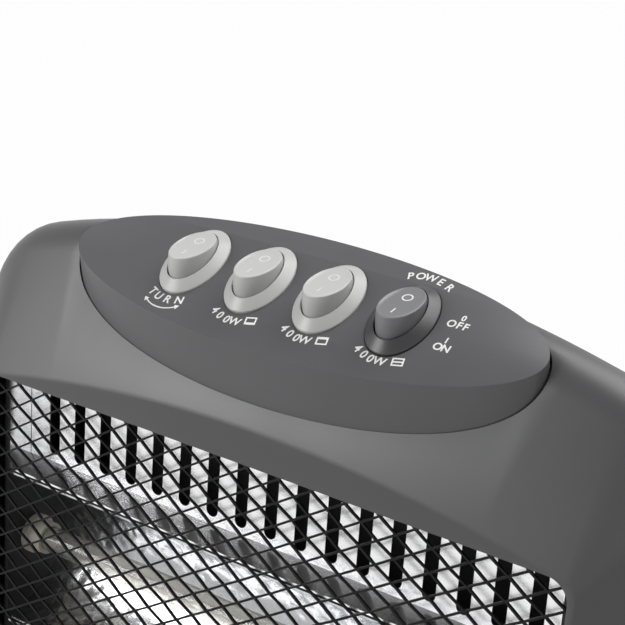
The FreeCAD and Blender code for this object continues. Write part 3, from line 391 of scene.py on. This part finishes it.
# Front housing: lip round the grille, creased brow, round shoulder, back to the parting line
housing = {  # sections: depth, half width, top, bottom, arch radius, corner radius
    "lip": (-49.6, 131, 453.6, 192.7, 100000, 8),
    "crease": (-49.6, 134, 467.9, 178.4, 600, 6),
    "shoulder": (-20.5, 158, 529.5, 138, 480, 37),
    "parting": (-8, 158, 528.5, 139, 480, 37),
    "wall": 2.6, "lipRound": 0.7, "creaseRound": 0.8, "browStart": 0.02,
    "bend": (0.8, 0.9, 12), "innerBend": (0.82, 0.9, 6),  # shares and steps of the shoulder
    "innerCrease": 0.65, "innerShoulder": 1.56, "backEdge": 0.4, "backStep": 0.2, "holeRim": 0.1,
}
lip, crease, shoulder, parting = (housing[k] for k in ("lip", "crease", "shoulder", "parting"))
wall, lipRound, creaseRound = housing["wall"], housing["lipRound"], housing["creaseRound"]
backEdge, innerCrease = housing["backEdge"], housing["innerCrease"]
sections = [
    inset(lip, 0, wall), inset(lip, 0, lipRound), inset(lip, -0.3 * lipRound, 0.3 * lipRound),
    inset(lip, -lipRound), inset(crease, creaseRound),
    inset(crease, 0.25 * creaseRound, 0.1 * creaseRound),
    mix(crease, shoulder, housing["browStart"]),
]
sections += roundOver(crease, shoulder, parting, *housing["bend"])
sections += [inset(parting, 0, -backEdge), inset(parting, backEdge),
             inset(parting, wall, -housing["backStep"])]
sections += roundOver(
    inset(crease, innerCrease, wall), inset(shoulder, wall, housing["innerShoulder"]),
    inset(parting, wall), *housing["innerBend"])[::-1]
sections.append(inset(crease, innerCrease, wall + backEdge))
bm = bmesh.new()
bridgeAll(bm, [outlineRing(bm, *section) for section in sections], closed=True)
frontHousing = addPiece("frontHousing", bm, "housing_plastic", replaced=["front_housing"])
carve(frontHousing, [podCutter("podHole", pod["endGap"]), neckCutter("neckHole")],
      rim=housing["holeRim"])
print("front housing", len(frontHousing.data.polygons))

# Rear cover: falls away behind the crest, with louvres, a grip recess and deep screw wells
rear = {
    "rimSide": 4, "rimStep": 0.4, "land": 3, "midY": 20, "midDraft": 1, "midDrop": 15,
    "backY": 52, "draft": 4, "drop": 27, "inset": 32, "edge": 0.5, "lap": 0.2, "cutRim": 0.5,
    "bend": (0.3, 0.9, 16), "innerBend": (0.3, 0.9, 6),
    "screwX": 149, "screwZ": (212, 446), "bossRadius": 7, "bossFront": 0.1, "bossBack": 30,
    "wellRadius": 4.5, "wellFloor": 0.3, "sides": 40, "clear": 1,
}
louvre = {"half": 62, "height": 4, "pitch": 11, "count": 6, "lows": (226, 346)}
grip = {"half": 55, "low": 424, "high": 456, "depth": 24}
backY, backWall, backOut = rear["backY"], rear["backY"] - wall, rear["backY"] + rear["clear"]


def rodAlongY(bm, x, z, radius, front, back):
    addRod(bm, radius, back - front, moved(x, (front + back) / 2, z) @ alongY, rear["sides"])


rim = inset(parting, rear["rimStep"])
rim = (rim[0], parting[1] + rear["rimSide"], *rim[2:5], parting[5] + rear["rimSide"])
depth = backY - parting[0]
midDepth = rear["midY"] - parting[0]
rearMid = lowered(inset(rim, rear["midDraft"], midDepth), rear["midDrop"])
rearPeak = lowered(inset(rim, rear["draft"], depth), rear["drop"])
rearBack = lowered(inset(rim, rear["inset"], depth), rear["drop"])
landShare = rear["land"] / midDepth
sections = roundOver(rearMid, rearPeak, rearBack, *rear["bend"])[::-1]
sections += [rearMid, inset(rim, 0, rear["edge"]), inset(rim, rear["edge"])]
sections += [
    inset(parting, wall, rear["lap"]),
    lowered(inset(parting, wall, rear["land"]), rear["midDrop"] * landShare),
    inset(mix(rim, rearMid, 2 * landShare), wall), inset(rearMid, wall),
]
sections += roundOver(inset(rearMid, wall), inset(rearPeak, wall, -wall),
                      inset(rearBack, wall, -wall), *rear["innerBend"])
bm = bmesh.new()
rings = [outlineRing(bm, *section) for section in sections]
bridgeAll(bm, rings)
for ring in (rings[0], rings[-1]):
    bmesh.ops.contextual_create(bm, geom=ring)
rearCover = addPiece("rearCover", bm, "cover_plastic", replaced=["rear_cover"])
screwSpots = [(sign * rear["screwX"], z) for sign in (-1, 1) for z in rear["screwZ"]]
bm = bmesh.new()
for x, z in screwSpots:
    rodAlongY(bm, x, z, rear["wellRadius"], rear["bossBack"] + rear["wellFloor"], backOut)
wells = addPiece("screwWells", bm, "cover_plastic", body=None)
gripFloor = backY - grip["depth"]
gripBlock = cutterBoxes("gripBlock", (
    (-grip["half"] - wall, gripFloor - wall, grip["low"] - wall),
    (grip["half"] + wall, backWall + wall / 2, grip["high"] + wall)))
gripPocket = cutterBoxes("gripPocket", (
    (-grip["half"], gripFloor, grip["low"]), (grip["half"], backOut, grip["high"])))
slitLows = [low + step * louvre["pitch"]
            for low in louvre["lows"] for step in range(louvre["count"])]
slits = cutterBoxes("louvres", *[
    ((-louvre["half"], backWall - rear["clear"], low),
     (louvre["half"], backOut, low + louvre["height"])) for low in slitLows])
podNotch, rearNeck = podCutter("podNotch", pod["gap"]), neckCutter("rearNeck")
carve(rearCover, [gripBlock], operation="UNION")
carve(rearCover, [gripPocket, slits, wells, podNotch, rearNeck], rim=rear["cutRim"])
bm = bmesh.new()
bm.from_mesh(rearCover.data)
for x, z in screwSpots:
    rodAlongY(bm, x, z, rear["bossRadius"], parting[0] + rear["bossFront"], rear["bossBack"])
bm.to_mesh(rearCover.data)
bm.free()
print("rear cover", len(rearCover.data.polygons))

# Switches: oval bezel with a conical ring, rocker tipped to its raised end
switch = {
    "halfLength": 17.2, "halfWidth": 12.2, "wellLength": 12.75, "wellWidth": 8.4, "pivot": 0.8,
    "segments": 96, "canLength": 14.2, "canWidth": 10.2, "canDepth": 9.2, "sink": 1.45,
    "canGap": 0.01, "room": 0.25, "holeTop": 6, "holeDepth": 30,
    # outward share from the well to the outer edge, height above the face
    "bezelSteps": [
        (1.0, -1.45), (1.0, 0.15), (0.993, 0.38), (0.97, 0.56), (0.93, 0.72), (0.5, 2.02),
        (0.12, 3.18), (0.07, 3.3), (0.035, 3.36), (0.012, 3.3), (0.0, 3.1), (0.0, -2.5),
        (0.01, -9.0)],
}
switches = {  # place along the row, name of the scene's pieces, plastic
    "turn": {"x": -46.5, "label": "turn", "tone": "light"},
    "lower_tube": {"x": -15.5, "label": "lowerTube", "tone": "light"},
    "upper_tube": {"x": 15.5, "label": "upperTube", "tone": "light"},
    "power": {"x": 46.5, "label": "power", "tone": "dark"},
}


def switchPlace(name):
    return (moved(switches[name]["x"], pod["rowY"], pod["rowZ"])
            @ Matrix.Rotation(pod["tilt"], 4, "X"))


# The pod itself: a crowned bar cut to an ellipse, with seats and holes for the switches
bm = bmesh.new()
crownPlace = moved(0, pod["rowY"] + pod["crown"] * math.sin(pod["tilt"]),
                   pod["rowZ"] - pod["crown"] * math.cos(pod["tilt"]))
addRod(bm, pod["crown"], pod["barLength"], crownPlace @ alongX, pod["crownSides"])
podPiece = addPiece("controlPod", bm, "pod_plastic", replaced=["control_pod"])
podWall = ellipsePrism("podWall", podPlace, pod["halfLength"], pod["halfDepth"],
                       *pod["wallSpan"], pod["wallSides"])
carve(podPiece, [podWall], operation="INTERSECT")
size = pod["belowSize"]
below = cutterBoxes("podBelow", ((-size, -size, -size), (size, size, 0)))
below.data.transform(moved(0, podMiddleY, pod["rowZ"] - pod["floorDrop"])
                     @ Matrix.Rotation(pod["floorTilt"], 4, "X"))
carve(podPiece, [below], rim=pod["rimRadius"])
seats = []
for name in switches:
    for cutName, halfX, halfY, low in (
            ("seat", switch["halfWidth"], switch["halfLength"], -switch["sink"]),
            ("canHole", switch["canWidth"], switch["canLength"], -switch["holeDepth"])):
        seats.append(ellipsePrism(
            cutName, switchPlace(name), halfX + switch["room"], halfY + switch["room"],
            low, switch["holeTop"], switch["segments"]))
carve(podPiece, seats)
print("control pod", len(podPiece.data.polygons))


def ovalRing(bm, halfWidth, halfLength, height):
    made = bmesh.ops.create_circle(bm, segments=switch["segments"], radius=1)["verts"]
    bmesh.ops.scale(bm, vec=(halfWidth * mm, halfLength * mm, 1), verts=made)
    bmesh.ops.translate(bm, vec=(0, 0, height * mm), verts=made)
    return edgesOf(made)


for name, own in switches.items():
    bm = bmesh.new()
    rings = []
    for share, height in switch["bezelSteps"]:
        width, length = mix((switch["wellWidth"], switch["wellLength"]),
                            (switch["halfWidth"], switch["halfLength"]), share)
        rings.append(ovalRing(bm, width, length, height))
    for height in (-switch["canDepth"], -switch["sink"] - switch["canGap"]):
        rings.append(ovalRing(bm, switch["canWidth"], switch["canLength"], height))
    bridgeAll(bm, rings, closed=True)
    bmesh.ops.transform(bm, matrix=switchPlace(name), verts=bm.verts)
    addPiece(own["label"] + "Bezel", bm, own["tone"] + "_switch", replaced=[name + "_switch"],
             angle=50)

rocker = {
    "halfLength": 12.4, "halfWidth": 7.75, "pivotDepth": 2.6, "top": 6.5, "base": 4.0, "dish": 0.5,
    "dishEdge": 0.12, "edge": 0.4, "tilt": math.radians(16), "pin": 1.25, "pinReach": 9.8,
    "pinSides": 24, "draft": 0.03, "wallSteps": 12, "edgeSteps": 4,
    "dishShares": (0.985, 0.95, 0.88, 0.75, 0.6, 0.45, 0.3, 0.15),
}
rockerReach = math.hypot(rocker["halfLength"], rocker["pivotDepth"])
shoulderLevel = rocker["top"] - rocker["edge"]
topLength = math.sqrt(rockerReach ** 2 - shoulderLevel ** 2) - rocker["edge"]


def rockerPlace(name):
    return (switchPlace(name) @ moved(0, 0, switch["pivot"])
            @ Matrix.Rotation(-rocker["tilt"], 4, "X"))


def dishDepth(y):  # hollow of the rocker's top along its length, in millimetres
    return rocker["dish"] * max(0, 1 - (y / topLength) ** 2)


for name, own in switches.items():
    bm = bmesh.new()
    rings = []
    for step in range(rocker["wallSteps"] + 1):
        level = -rocker["base"] + (shoulderLevel + rocker["base"]) * step / rocker["wallSteps"]
        length = math.sqrt(rockerReach ** 2 - level ** 2)
        width = rocker["halfWidth"] - rocker["draft"] * level
        rings.append(ovalRing(bm, width, length, level))
    for step in range(1, rocker["edgeSteps"] + 1):  # rounded rim
        bend = step / rocker["edgeSteps"] * math.pi / 2
        inward = rocker["edge"] * (1 - math.cos(bend))
        rings.append(ovalRing(bm, width - inward, length - inward,
                              shoulderLevel + rocker["edge"] * math.sin(bend)))
    for share in rocker["dishShares"]:  # dished top
        made = ovalRing(bm, (width - rocker["edge"]) * share, topLength * share, rocker["top"])
        for vert in {v for e in made for v in e.verts}:
            hollow = dishDepth(vert.co.y / mm) * min(1, (1 - share) / rocker["dishEdge"])
            vert.co.z -= hollow * mm
        rings.append(made)
    bridgeAll(bm, rings)
    for ring in (rings[0], rings[-1]):
        bmesh.ops.contextual_create(bm, geom=ring)
    addRod(bm, rocker["pin"], 2 * rocker["pinReach"], alongX, rocker["pinSides"])
    bmesh.ops.transform(bm, matrix=rockerPlace(name), verts=bm.verts)
    addPiece(own["label"] + "RockerCap", bm, own["tone"] + "_rocker", body=name + "_rocker",
             replaced=[name + "_rocker"])

# Printed marks on each rocker: a ring at the rear end, a bar at the front end
mark = {"ringY": 4.1, "ringOuter": 2.1, "ringInner": 1.55, "ringSides": 40, "barY": -5.2,
        "barHalf": 1.55, "barWidth": 0.24, "barSteps": 4, "lift": 0.06, "skirt": 0.1}
for name, own in switches.items():
    bm = bmesh.new()
    loops = []
    for radius in (mark["ringOuter"], mark["ringInner"]):
        made = bmesh.ops.create_circle(bm, segments=mark["ringSides"], radius=radius * mm)["verts"]
        bmesh.ops.translate(bm, vec=(0, mark["ringY"] * mm, 0), verts=made)
        loops += edgesOf(made)
    bmesh.ops.bridge_loops(bm, edges=loops)
    bar = bmesh.ops.create_grid(bm, x_segments=1, y_segments=mark["barSteps"], size=1)["verts"]
    bmesh.ops.scale(bm, vec=(mark["barWidth"] * mm, mark["barHalf"] * mm, 1), verts=bar)
    bmesh.ops.translate(bm, vec=(0, mark["barY"] * mm, 0), verts=bar)
    grown = bmesh.ops.extrude_face_region(bm, geom=list(bm.faces))
    bmesh.ops.translate(bm, vec=(0, 0, -mark["skirt"] * mm), verts=vertsOf(grown["geom"]))
    for vert in bm.verts:
        vert.co.z += (rocker["top"] - dishDepth(vert.co.y / mm) + mark["lift"]) * mm
    bmesh.ops.transform(bm, matrix=rockerPlace(name), verts=bm.verts)
    addPiece(own["label"] + "RockerMarks", bm, own["tone"] + "_rocker_ink", body=name + "_rocker")
print("switches", len(switches))

# Printed legends on the pod: letters set one by one on arcs round the bezels, signs and an arrow
legend = {"lift": 0.03, "thick": 0.03, "capShare": 0.69, "bold": 0.11}
letterRows = [  # text, height, switch, then place across and along the face and lean of each letter
    ("TURN", 3.3, "turn",
     [(-7.4, -18.4, -24), (-3.6, -19.8, -14), (1.0, -20.2, -1), (6.0, -19.2, 12)]),
    ("400W", 3.2, "lower_tube",
     [(-8.2, -18.6, -26), (-4.9, -20.2, -19), (-1.3, -21.1, -11), (2.3, -21.0, 2)]),
    ("400W", 3.2, "upper_tube",
     [(-8.5, -17.6, -26), (-5.1, -19.2, -19), (-1.7, -20.1, -11), (1.8, -20.0, 2)]),
    ("400W", 3.2, "power",
     [(-8.5, -16.9, -26), (-5.1, -18.6, -19), (-1.9, -19.5, -11), (1.8, -19.5, 2)]),
    ("POWER", 3.2, "power",
     [(-8.6, 20.0, 22), (-4.9, 21.1, 13), (-0.9, 21.4, 1), (3.5, 20.7, -12), (7.9, 19.2, -22)]),
    ("0", 2.4, "power", [(20.3, 7.5, 0)]),
    ("OFF", 3.0, "power", [(17.3, 4.0, 0), (20.4, 4.0, 0), (22.9, 4.0, 0)]),
    ("1", 2.4, "power", [(19.6, -3.6, 0)]),
    ("ON", 3.0, "power", [(17.9, -7.0, 0), (21.1, -7.0, 0)]),
]
tubeSign = {  # a framed field with one filled band, whose place tells the tube
    "half": 2.25, "rise": 1.75, "line": 0.6, "across": 8.15, "lean": 14,
    "along": {"lower_tube": -18.8, "upper_tube": -18.2, "power": -17.6},
    "band": {"lower_tube": (-0.9, -0.4), "upper_tube": (0.4, 0.9), "power": (-0.18, 0.18)},
}
arrow = {"radius": 12.4, "across": -0.6, "along": -12.1, "from": math.radians(235),
         "to": math.radians(306), "steps": 12, "half": 0.27, "lap": 0.05, "tip": 1.3}


def layOnFace(verts, switchName, across, along, lean):
    turn = Matrix.Rotation(math.radians(lean), 4, "Z")
    crown = pod["crown"] * mm
    for vert in verts:
        flat = turn @ vert.co
        bend = (along * mm + flat.y) / crown
        ring = crown + legend["lift"] * mm + flat.z
        vert.co = switchPlace(switchName) @ Vector((
            across * mm + flat.x, ring * math.sin(bend), ring * math.cos(bend) - crown))


def flatBar(bm, low, high, switchName, across, along, lean):
    thick = legend["thick"] / 2
    layOnFace(addBox(bm, (*low, -thick), (*high, thick)), switchName, across, along, lean)


def arrowSpot(angle):
    return (arrow["radius"] * math.cos(angle) + arrow["across"],
            arrow["radius"] * math.sin(angle) + arrow["along"])


bm = bmesh.new()
for text, height, switchName, spots in letterRows:
    for letter, (across, along, lean) in zip(text, spots):
        glyph = bpy.data.curves.new("letter", "FONT")
        glyph.body = letter
        glyph.size = height / legend["capShare"] * mm
        glyph.align_x, glyph.align_y = "CENTER", "CENTER"
        glyph.extrude = legend["thick"] * mm / 2
        glyph.offset = legend["bold"] * mm
        holder = bpy.data.objects.new("letter", glyph)
        scene.collection.objects.link(holder)
        letterMesh = finalMesh(holder)
        bpy.data.objects.remove(holder)
        old = set(bm.verts)
        bm.from_mesh(letterMesh)
        layOnFace([v for v in bm.verts if v not in old], switchName, across, along, lean)
        bpy.data.meshes.remove(letterMesh)
half, rise, line = tubeSign["half"], tubeSign["rise"], tubeSign["line"]
for switchName, band in tubeSign["band"].items():
    for low, high in (((-half, rise - line), (half, rise)), ((-half, -rise), (half, line - rise)),
                      ((-half, -rise), (line - half, rise)), ((half - line, -rise), (half, rise)),
                      ((-half, band[0] * rise), (half, band[1] * rise))):
        flatBar(bm, low, high, switchName, tubeSign["across"], tubeSign["along"][switchName],
                tubeSign["lean"])
bends = [arrow["from"] + (arrow["to"] - arrow["from"]) * step / arrow["steps"]
         for step in range(arrow["steps"] + 1)]
for first, second in zip(bends, bends[1:]):  # curved arrow under the turning switch
    start, end = Vector(arrowSpot(first)), Vector(arrowSpot(second))
    run, middle = end - start, (start + end) / 2
    reach = run.length / 2 + arrow["lap"]
    flatBar(bm, (-reach, -arrow["half"]), (reach, arrow["half"]), "turn", middle.x, middle.y,
            math.degrees(math.atan2(run.y, run.x)))
for end, turn in ((arrow["from"], 180), (arrow["to"], 0)):
    tip = bmesh.ops.create_circle(bm, cap_ends=True, segments=3, radius=arrow["tip"] * mm)["verts"]
    layOnFace(tip, "turn", *arrowSpot(end), math.degrees(end) + turn)
addPiece("podLegends", bm, "white_ink")
print("legends", len(letterRows))

# Grille: expanded metal, one rhombus frame repeated, its field curled back behind the lip
grille = {"across": 14.5, "up": 9.2, "strand": 0.4, "thick": 1.0, "frontY": -48.2, "curl": 10.0,
          "curlDepth": 5.0, "low": (-135, 189), "high": (135, 457.3), "twist": 0.28, "halveOver": 3}
(lowX, lowZ), (highX, highZ) = grille["low"], grille["high"]
middleZ = (lowZ + highZ) / 2
bm = bmesh.new()
corners = [(-0.5, 0), (0, -0.5), (0.5, 0), (0, 0.5)]
face = bm.faces.new([
    bm.verts.new((u * grille["across"] * mm, 0, w * grille["up"] * mm)) for u, w in corners])
bm.normal_update()
bmesh.ops.inset_individual(bm, faces=[face], thickness=grille["strand"] * mm, use_even_offset=True)
bmesh.ops.delete(bm, geom=[face], context="FACES_ONLY")
longEdges = [e for e in bm.edges if e.calc_length() > grille["halveOver"] * mm]
bmesh.ops.subdivide_edges(bm, edges=longEdges, cuts=1, use_grid_fill=True)
cell = bm.verts[:] + bm.edges[:] + bm.faces[:]
columns = int((highX - lowX) / grille["across"]) + 2
rows = int((highZ - lowZ) / grille["up"]) + 2
for shift in (0, 0.5):
    for row in range(rows + 1):
        for column in range(columns + 1):
            copy = bmesh.ops.duplicate(bm, geom=cell)
            bmesh.ops.translate(bm, verts=vertsOf(copy["geom"]), vec=(
                (column + shift - columns / 2) * grille["across"] * mm, 0,
                (middleZ + (row + shift - rows / 2) * grille["up"]) * mm))
bmesh.ops.delete(bm, geom=vertsOf(cell), context="VERTS")
bmesh.ops.remove_doubles(bm, verts=bm.verts, dist=1e-5)
for point, normal in (((lowX, 0, 0), (-1, 0, 0)), ((highX, 0, 0), (1, 0, 0)),
                      ((0, 0, lowZ), (0, 0, -1)), ((0, 0, highZ), (0, 0, 1))):
    bmesh.ops.bisect_plane(bm, geom=bm.verts[:] + bm.edges[:] + bm.faces[:], dist=1e-7,
                           plane_co=Vector(point) * mm, plane_no=normal, clear_outer=True)
bmesh.ops.recalc_face_normals(bm, faces=bm.faces)
bmesh.ops.solidify(bm, geom=bm.faces[:], thickness=grille["thick"] * mm)
for vert in bm.verts:
    x, z = vert.co.x / mm, vert.co.z / mm
    edge = min(x - lowX, highX - x, z - lowZ, highZ - z)
    back = 0
    if edge < grille["curl"]:
        back = grille["curlDepth"] * (1 - math.sqrt(max(0, 1 - (1 - edge / grille["curl"]) ** 2)))
    ripple = grille["twist"] * math.cos((z - middleZ) / grille["up"] * 2 * math.pi)
    vert.co.y += (grille["frontY"] + back + grille["thick"] / 2 - ripple) * mm
addPiece("meshGrille", bm, "grille_paint", replaced=["grille"], angle=50)
print("grille", columns, rows)

# Reflector troughs, one smooth half round each
trough = {"radius": 34.4, "axisY": -42, "half": 127, "sheet": 0.8, "steps": 60,
          "levels": {"upper": 374.5, "middle": 304.5, "lower": 234.5}}
for name, level in trough["levels"].items():
    bm = bmesh.new()
    ends = [bm.verts.new((x * mm, trough["axisY"] * mm, (level + trough["radius"]) * mm))
            for x in (-trough["half"], trough["half"])]
    bmesh.ops.spin(bm, geom=[bm.edges.new(ends)], cent=Vector((0, trough["axisY"], level)) * mm,
                   axis=(1, 0, 0), angle=-math.pi, steps=trough["steps"])
    bmesh.ops.recalc_face_normals(bm, faces=bm.faces)
    bmesh.ops.solidify(bm, geom=bm.faces[:], thickness=trough["sheet"] * mm)
    addPiece(name + "Trough", bm, "hammered_sheet", replaced=[name + "_tube_reflector"])
print("troughs", len(trough["levels"]))

# Bright end cheeks that close the slotted panel at both sides, above the shelf
cheek = {"face": 127, "sheet": 0.5, "front": -41.5, "back": -29.7, "low": 410.5, "high": 457.5}
bm = bmesh.new()
for side in (-1, 1):
    left, right = sorted((side * cheek["face"], side * (cheek["face"] - cheek["sheet"])))
    addBox(bm, (left, cheek["front"], cheek["low"]), (right, cheek["back"], cheek["high"]))
addPiece("panelCheeks", bm, "polished_sheet")

# Filaments: one close coil of drawn wire per tube, with straight legs at its ends
coil = {"axisY": -26, "radius": 0.95, "wire": 0.2, "wireSides": 6, "pitch": 1.4, "turns": 160,
        "steps": 10, "runs": 32, "legEnd": 118, "legSides": 12}
coilHalf = coil["pitch"] * coil["turns"] / 2
leg = coil["legEnd"] - coilHalf
runTurns = coil["turns"] // coil["runs"]  # a short run is spun, then repeated
for name, level in trough["levels"].items():
    bm = bmesh.new()
    bmesh.ops.create_circle(
        bm, segments=coil["wireSides"], radius=coil["wire"] * mm,
        matrix=moved(-coilHalf, coil["axisY"], level + coil["radius"]) @ alongY)
    bmesh.ops.spin(
        bm, geom=bm.edges[:], cent=Vector((0, coil["axisY"], level)) * mm, axis=(1, 0, 0),
        dvec=(coil["pitch"] / coil["steps"] * mm, 0, 0), angle=2 * math.pi * runTurns,
        steps=coil["steps"] * runTurns)
    firstRun = bm.verts[:] + bm.edges[:] + bm.faces[:]
    for step in range(1, coil["runs"]):
        copy = bmesh.ops.duplicate(bm, geom=firstRun)
        bmesh.ops.translate(bm, vec=(step * runTurns * coil["pitch"] * mm, 0, 0),
                            verts=vertsOf(copy["geom"]))
    bmesh.ops.remove_doubles(bm, verts=bm.verts, dist=1e-6)
    bmesh.ops.holes_fill(bm, edges=bm.edges, sides=coil["wireSides"])
    for end in (-1, 1):
        legPlace = moved(end * (coilHalf + leg / 2), coil["axisY"], level)
        addRod(bm, coil["radius"], leg, legPlace @ alongX, coil["legSides"])
    addPiece(name + "FilamentCoil", bm, "tungsten_wire", replaced=[name + "_filament"], angle=60)
print("filament coils", coil["turns"], "turns")

# Floor and backdrop: white paper that keeps a faint shadow near the foot; metres, fibre in mm
stage = {"floor": "#f2f2f1", "reach": 9.0, "fibre": 3, "fibreDepth": 0.02, "glow": 0.985,
         "nearGlow": 0.8, "near": 0.2, "far": 1.0, "ambient": 0.22, "overhead": 0.35,
         "dimFrom": 0.15, "dimTo": 0.75, "white": (1, 1, 1, 1)}


def seenShare(tree):  # 1 for what the camera, a mirror or clear glass sees
    ray = addNode(tree, "ShaderNodeLightPath")
    seen = addNode(tree, "ShaderNodeMath", {
        0: ray.outputs["Is Camera Ray"], 1: ray.outputs["Is Glossy Ray"]}, operation="MAXIMUM")
    return addNode(tree, "ShaderNodeMath", {
        0: seen.outputs[0], 1: ray.outputs["Is Transmission Ray"]}, operation="MAXIMUM").outputs[0]


bm = bmesh.new()
bmesh.ops.create_grid(bm, x_segments=1, y_segments=1, size=stage["reach"])
floorMesh = bpy.data.meshes.new("floor")
bm.to_mesh(floorMesh)
bm.free()
floor = bpy.data.objects.new("floor", floorMesh)
scene.collection.objects.link(floor)
floorPaper, tree, shader, coords = startMaterial("paleStudioPaper", Roughness=0.9)
shader.inputs["Base Color"].default_value = srgb(stage["floor"])
fibre = addNode(tree, "ShaderNodeTexNoise", {
    "Vector": coords, "Scale": perMm(stage["fibre"]), "Detail": 2.0})
bump = addNode(tree, "ShaderNodeBump", {
    "Height": fibre.outputs["Fac"], "Distance": stage["fibreDepth"] * mm, "Strength": 0.3})
tree.links.new(bump.outputs["Normal"], shader.inputs["Normal"])
glow = addNode(tree, "ShaderNodeEmission", {"Color": stage["white"], "Strength": 1.0})
away = addNode(tree, "ShaderNodeVectorMath", {0: coords}, operation="LENGTH")
fade = addNode(tree, "ShaderNodeMapRange", {
    "Value": away.outputs["Value"], "From Min": stage["near"], "From Max": stage["far"],
    "To Min": stage["nearGlow"], "To Max": stage["glow"]})
share = addNode(tree, "ShaderNodeMath", {
    0: seenShare(tree), 1: fade.outputs["Result"]}, operation="MULTIPLY")
blend = addNode(tree, "ShaderNodeMixShader", {
    0: share.outputs[0], 1: shader.outputs["BSDF"], 2: glow.outputs["Emission"]})
tree.links.new(blend.outputs["Shader"], tree.nodes["Material Output"].inputs["Surface"])
floorMesh.materials.append(floorPaper)

# Sky: white to the camera and to mirrors, dimmer overhead, weak as a light
world = bpy.data.worlds.new("studio")
scene.world = world
world.use_nodes = True
tree = world.node_tree
skyCoords = addNode(tree, "ShaderNodeTexCoord").outputs["Generated"]
aim = addNode(tree, "ShaderNodeSeparateXYZ", {"Vector": skyCoords})
dim = addNode(tree, "ShaderNodeMapRange", {
    "Value": aim.outputs["Z"], "From Min": stage["dimFrom"], "From Max": stage["dimTo"],
    "To Min": 1.0, "To Max": stage["overhead"]})
lit = addNode(tree, "ShaderNodeMapRange", {
    "Value": seenShare(tree), "To Min": stage["ambient"], "To Max": 1.0})
strength = addNode(tree, "ShaderNodeMath", {
    0: dim.outputs["Result"], 1: lit.outputs["Result"]}, operation="MULTIPLY")
background = tree.nodes["Background"]
background.inputs["Color"].default_value = stage["white"]
tree.links.new(strength.outputs[0], background.inputs["Strength"])

lamps = {  # place, target, size in metres, watts
    "key": ((-0.56, -0.72, 0.84), (0, 0, 0.48), 0.5, 5.7),
    "top": ((0.25, 0.3, 1.35), (0, -0.02, 0.51), 0.8, 9.5),
    "fill": ((1.3, -0.8, 0.8), (0, 0, 0.45), 0.9, 1.0),
    "back": ((0.5, 1.5, 1.0), (0, 0, 0.4), 1.2, 5.0),
}
for name, (place, target, size, watts) in lamps.items():
    lamp = bpy.data.lights.new(name, "AREA")
    lamp.size = size
    lamp.energy = watts
    holder = bpy.data.objects.new(name, lamp)
    holder.location = place
    holder.rotation_euler = (Vector(target) - Vector(place)).to_track_quat("-Z", "Y").to_euler()
    scene.collection.objects.link(holder)

view = {"eye": (302.4, -458.0, 681.6), "azimuth": math.radians(34.1),
        "elevation": math.radians(18.3), "roll": math.radians(4.1), "lens": 88.1, "sensor": 36,
        "clipStart": 0.01}
az, el, roll = view["azimuth"], view["elevation"], view["roll"]
side = Vector((math.cos(az), math.sin(az), 0))
look = Vector((-math.sin(az) * math.cos(el), math.cos(az) * math.cos(el), -math.sin(el)))
upright = side.cross(look)
right = math.cos(roll) * side + math.sin(roll) * upright
up = -math.sin(roll) * side + math.cos(roll) * upright
camera = bpy.data.objects.new("camera", bpy.data.cameras.new("camera"))
camera.data.lens = view["lens"]
camera.data.sensor_width = view["sensor"]
camera.data.clip_start = view["clipStart"]
camera.matrix_world = moved(*view["eye"]) @ Matrix((right, up, -look)).transposed().to_4x4()
scene.collection.objects.link(camera)
scene.camera = camera
print("stage, lamps and camera")
